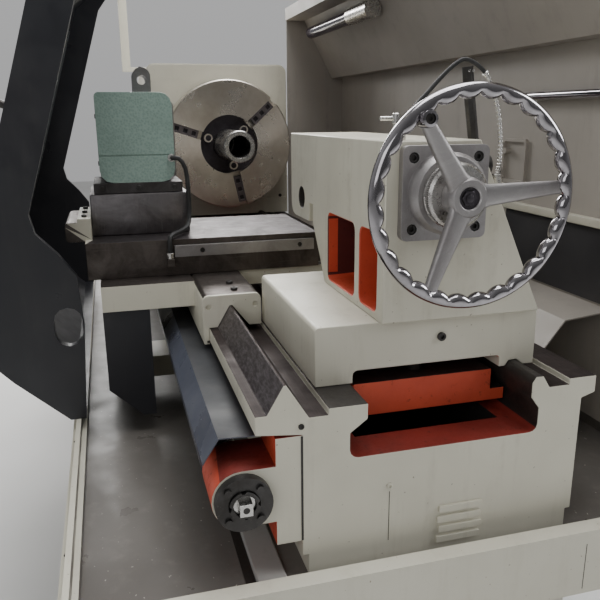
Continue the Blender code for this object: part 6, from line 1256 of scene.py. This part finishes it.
# Name, place, the point it looks at, size, power and tint.
LIGHTS = (
    ("window_light", (-4.2, -0.6, 3.4), (0, 0, 1.1), (3.0, 2.2), 330, (1.0, 0.99, 0.97)),
    ("overhead_light", (0.6, 0.4, 4.2), (0.4, 0, 1.0), (3.2, 2.4), 150, (1, 1, 1)),
    ("side_light", (2.2, 4.0, 3.0), (0.6, 0, 1.0), (2.4, 2.0), 150, (0.98, 0.99, 1.0)),
    ("front_light", (3.8, -2.6, 2.4), (0.8, 0, 1.0), (2.4, 1.8), 26, (1, 1, 1)),
)
WORLD_STRENGTH = 0.62
LOW_SKY, HIGH_SKY = (0.30, (0.46, 0.46, 0.47, 1)), (0.80, (0.80, 0.80, 0.80, 1))
# The world is brighter behind the machine, at -X, than behind the viewer.
BEHIND = {"From_Min": 1.0, "From_Max": -0.8, "To_Min": 0.30, "To_Max": 1.15}


def make_floor():
    mesh = bpy.data.meshes.new("studio_floor")
    corners = [(x * FLOOR_HALF, y * FLOOR_HALF, 0) for x, y in ((-1, -1), (1, -1), (1, 1), (-1, 1))]
    mesh.from_pydata(corners, [], [(0, 1, 2, 3)])
    floor = bpy.data.objects.new("studio_floor", mesh)
    bpy.context.scene.collection.objects.link(floor)
    look = Look("pale_floor")
    tone = look.noise(0.8, 4)
    colour = look.mix(look.span(tone, 0.35, 0.7), (0.66, 0.66, 0.65), (0.62, 0.62, 0.61))
    look.bump((look.noise(90, 3), 0.05, 0.0008))
    mesh.materials.append(look.finish(colour, look.span(tone, 0.3, 0.7, 0.55, 0.7)))


def make_light(name, place, target, size, power, tint):
    data = bpy.data.lights.new(name, "AREA")
    data.shape = "RECTANGLE"
    data.size, data.size_y = size
    data.energy = power
    data.color = tint
    light = bpy.data.objects.new(name, data)
    aim = Vector(target) - Vector(place)
    light.matrix_world = Matrix.Translation(place) @ aim.to_track_quat("-Z", "Y").to_matrix().to_4x4()
    bpy.context.scene.collection.objects.link(light)


def make_world():
    world = bpy.data.worlds.new("studio")
    world.use_nodes = True
    tree = world.node_tree
    tree.nodes.clear()
    split = add_node(tree, "SeparateXYZ", Vector=add_node(tree, "TexCoord").outputs["Generated"])
    lift = add_node(tree, "MapRange", Value=split.outputs["Z"], From_Min=-1)
    sky = add_node(tree, "ValToRGB", Fac=lift.outputs["Result"])
    for element, (position, colour) in zip(sky.color_ramp.elements, (LOW_SKY, HIGH_SKY)):
        element.position = position
        element.color = colour
    toward = add_node(tree, "MapRange", Value=split.outputs["X"], **BEHIND)
    tint = add_node(tree, "VectorMath")
    tint.operation = "SCALE"
    put(tree, tint.inputs[0], sky.outputs["Color"])
    put(tree, tint.inputs["Scale"], toward.outputs["Result"])
    background = add_node(tree, "Background", Color=tint.outputs["Vector"], Strength=WORLD_STRENGTH)
    add_node(tree, "OutputWorld", Surface=background.outputs[0])
    bpy.context.scene.world = world


make_floor()
make_world()
for light in LIGHTS:
    make_light(*light)
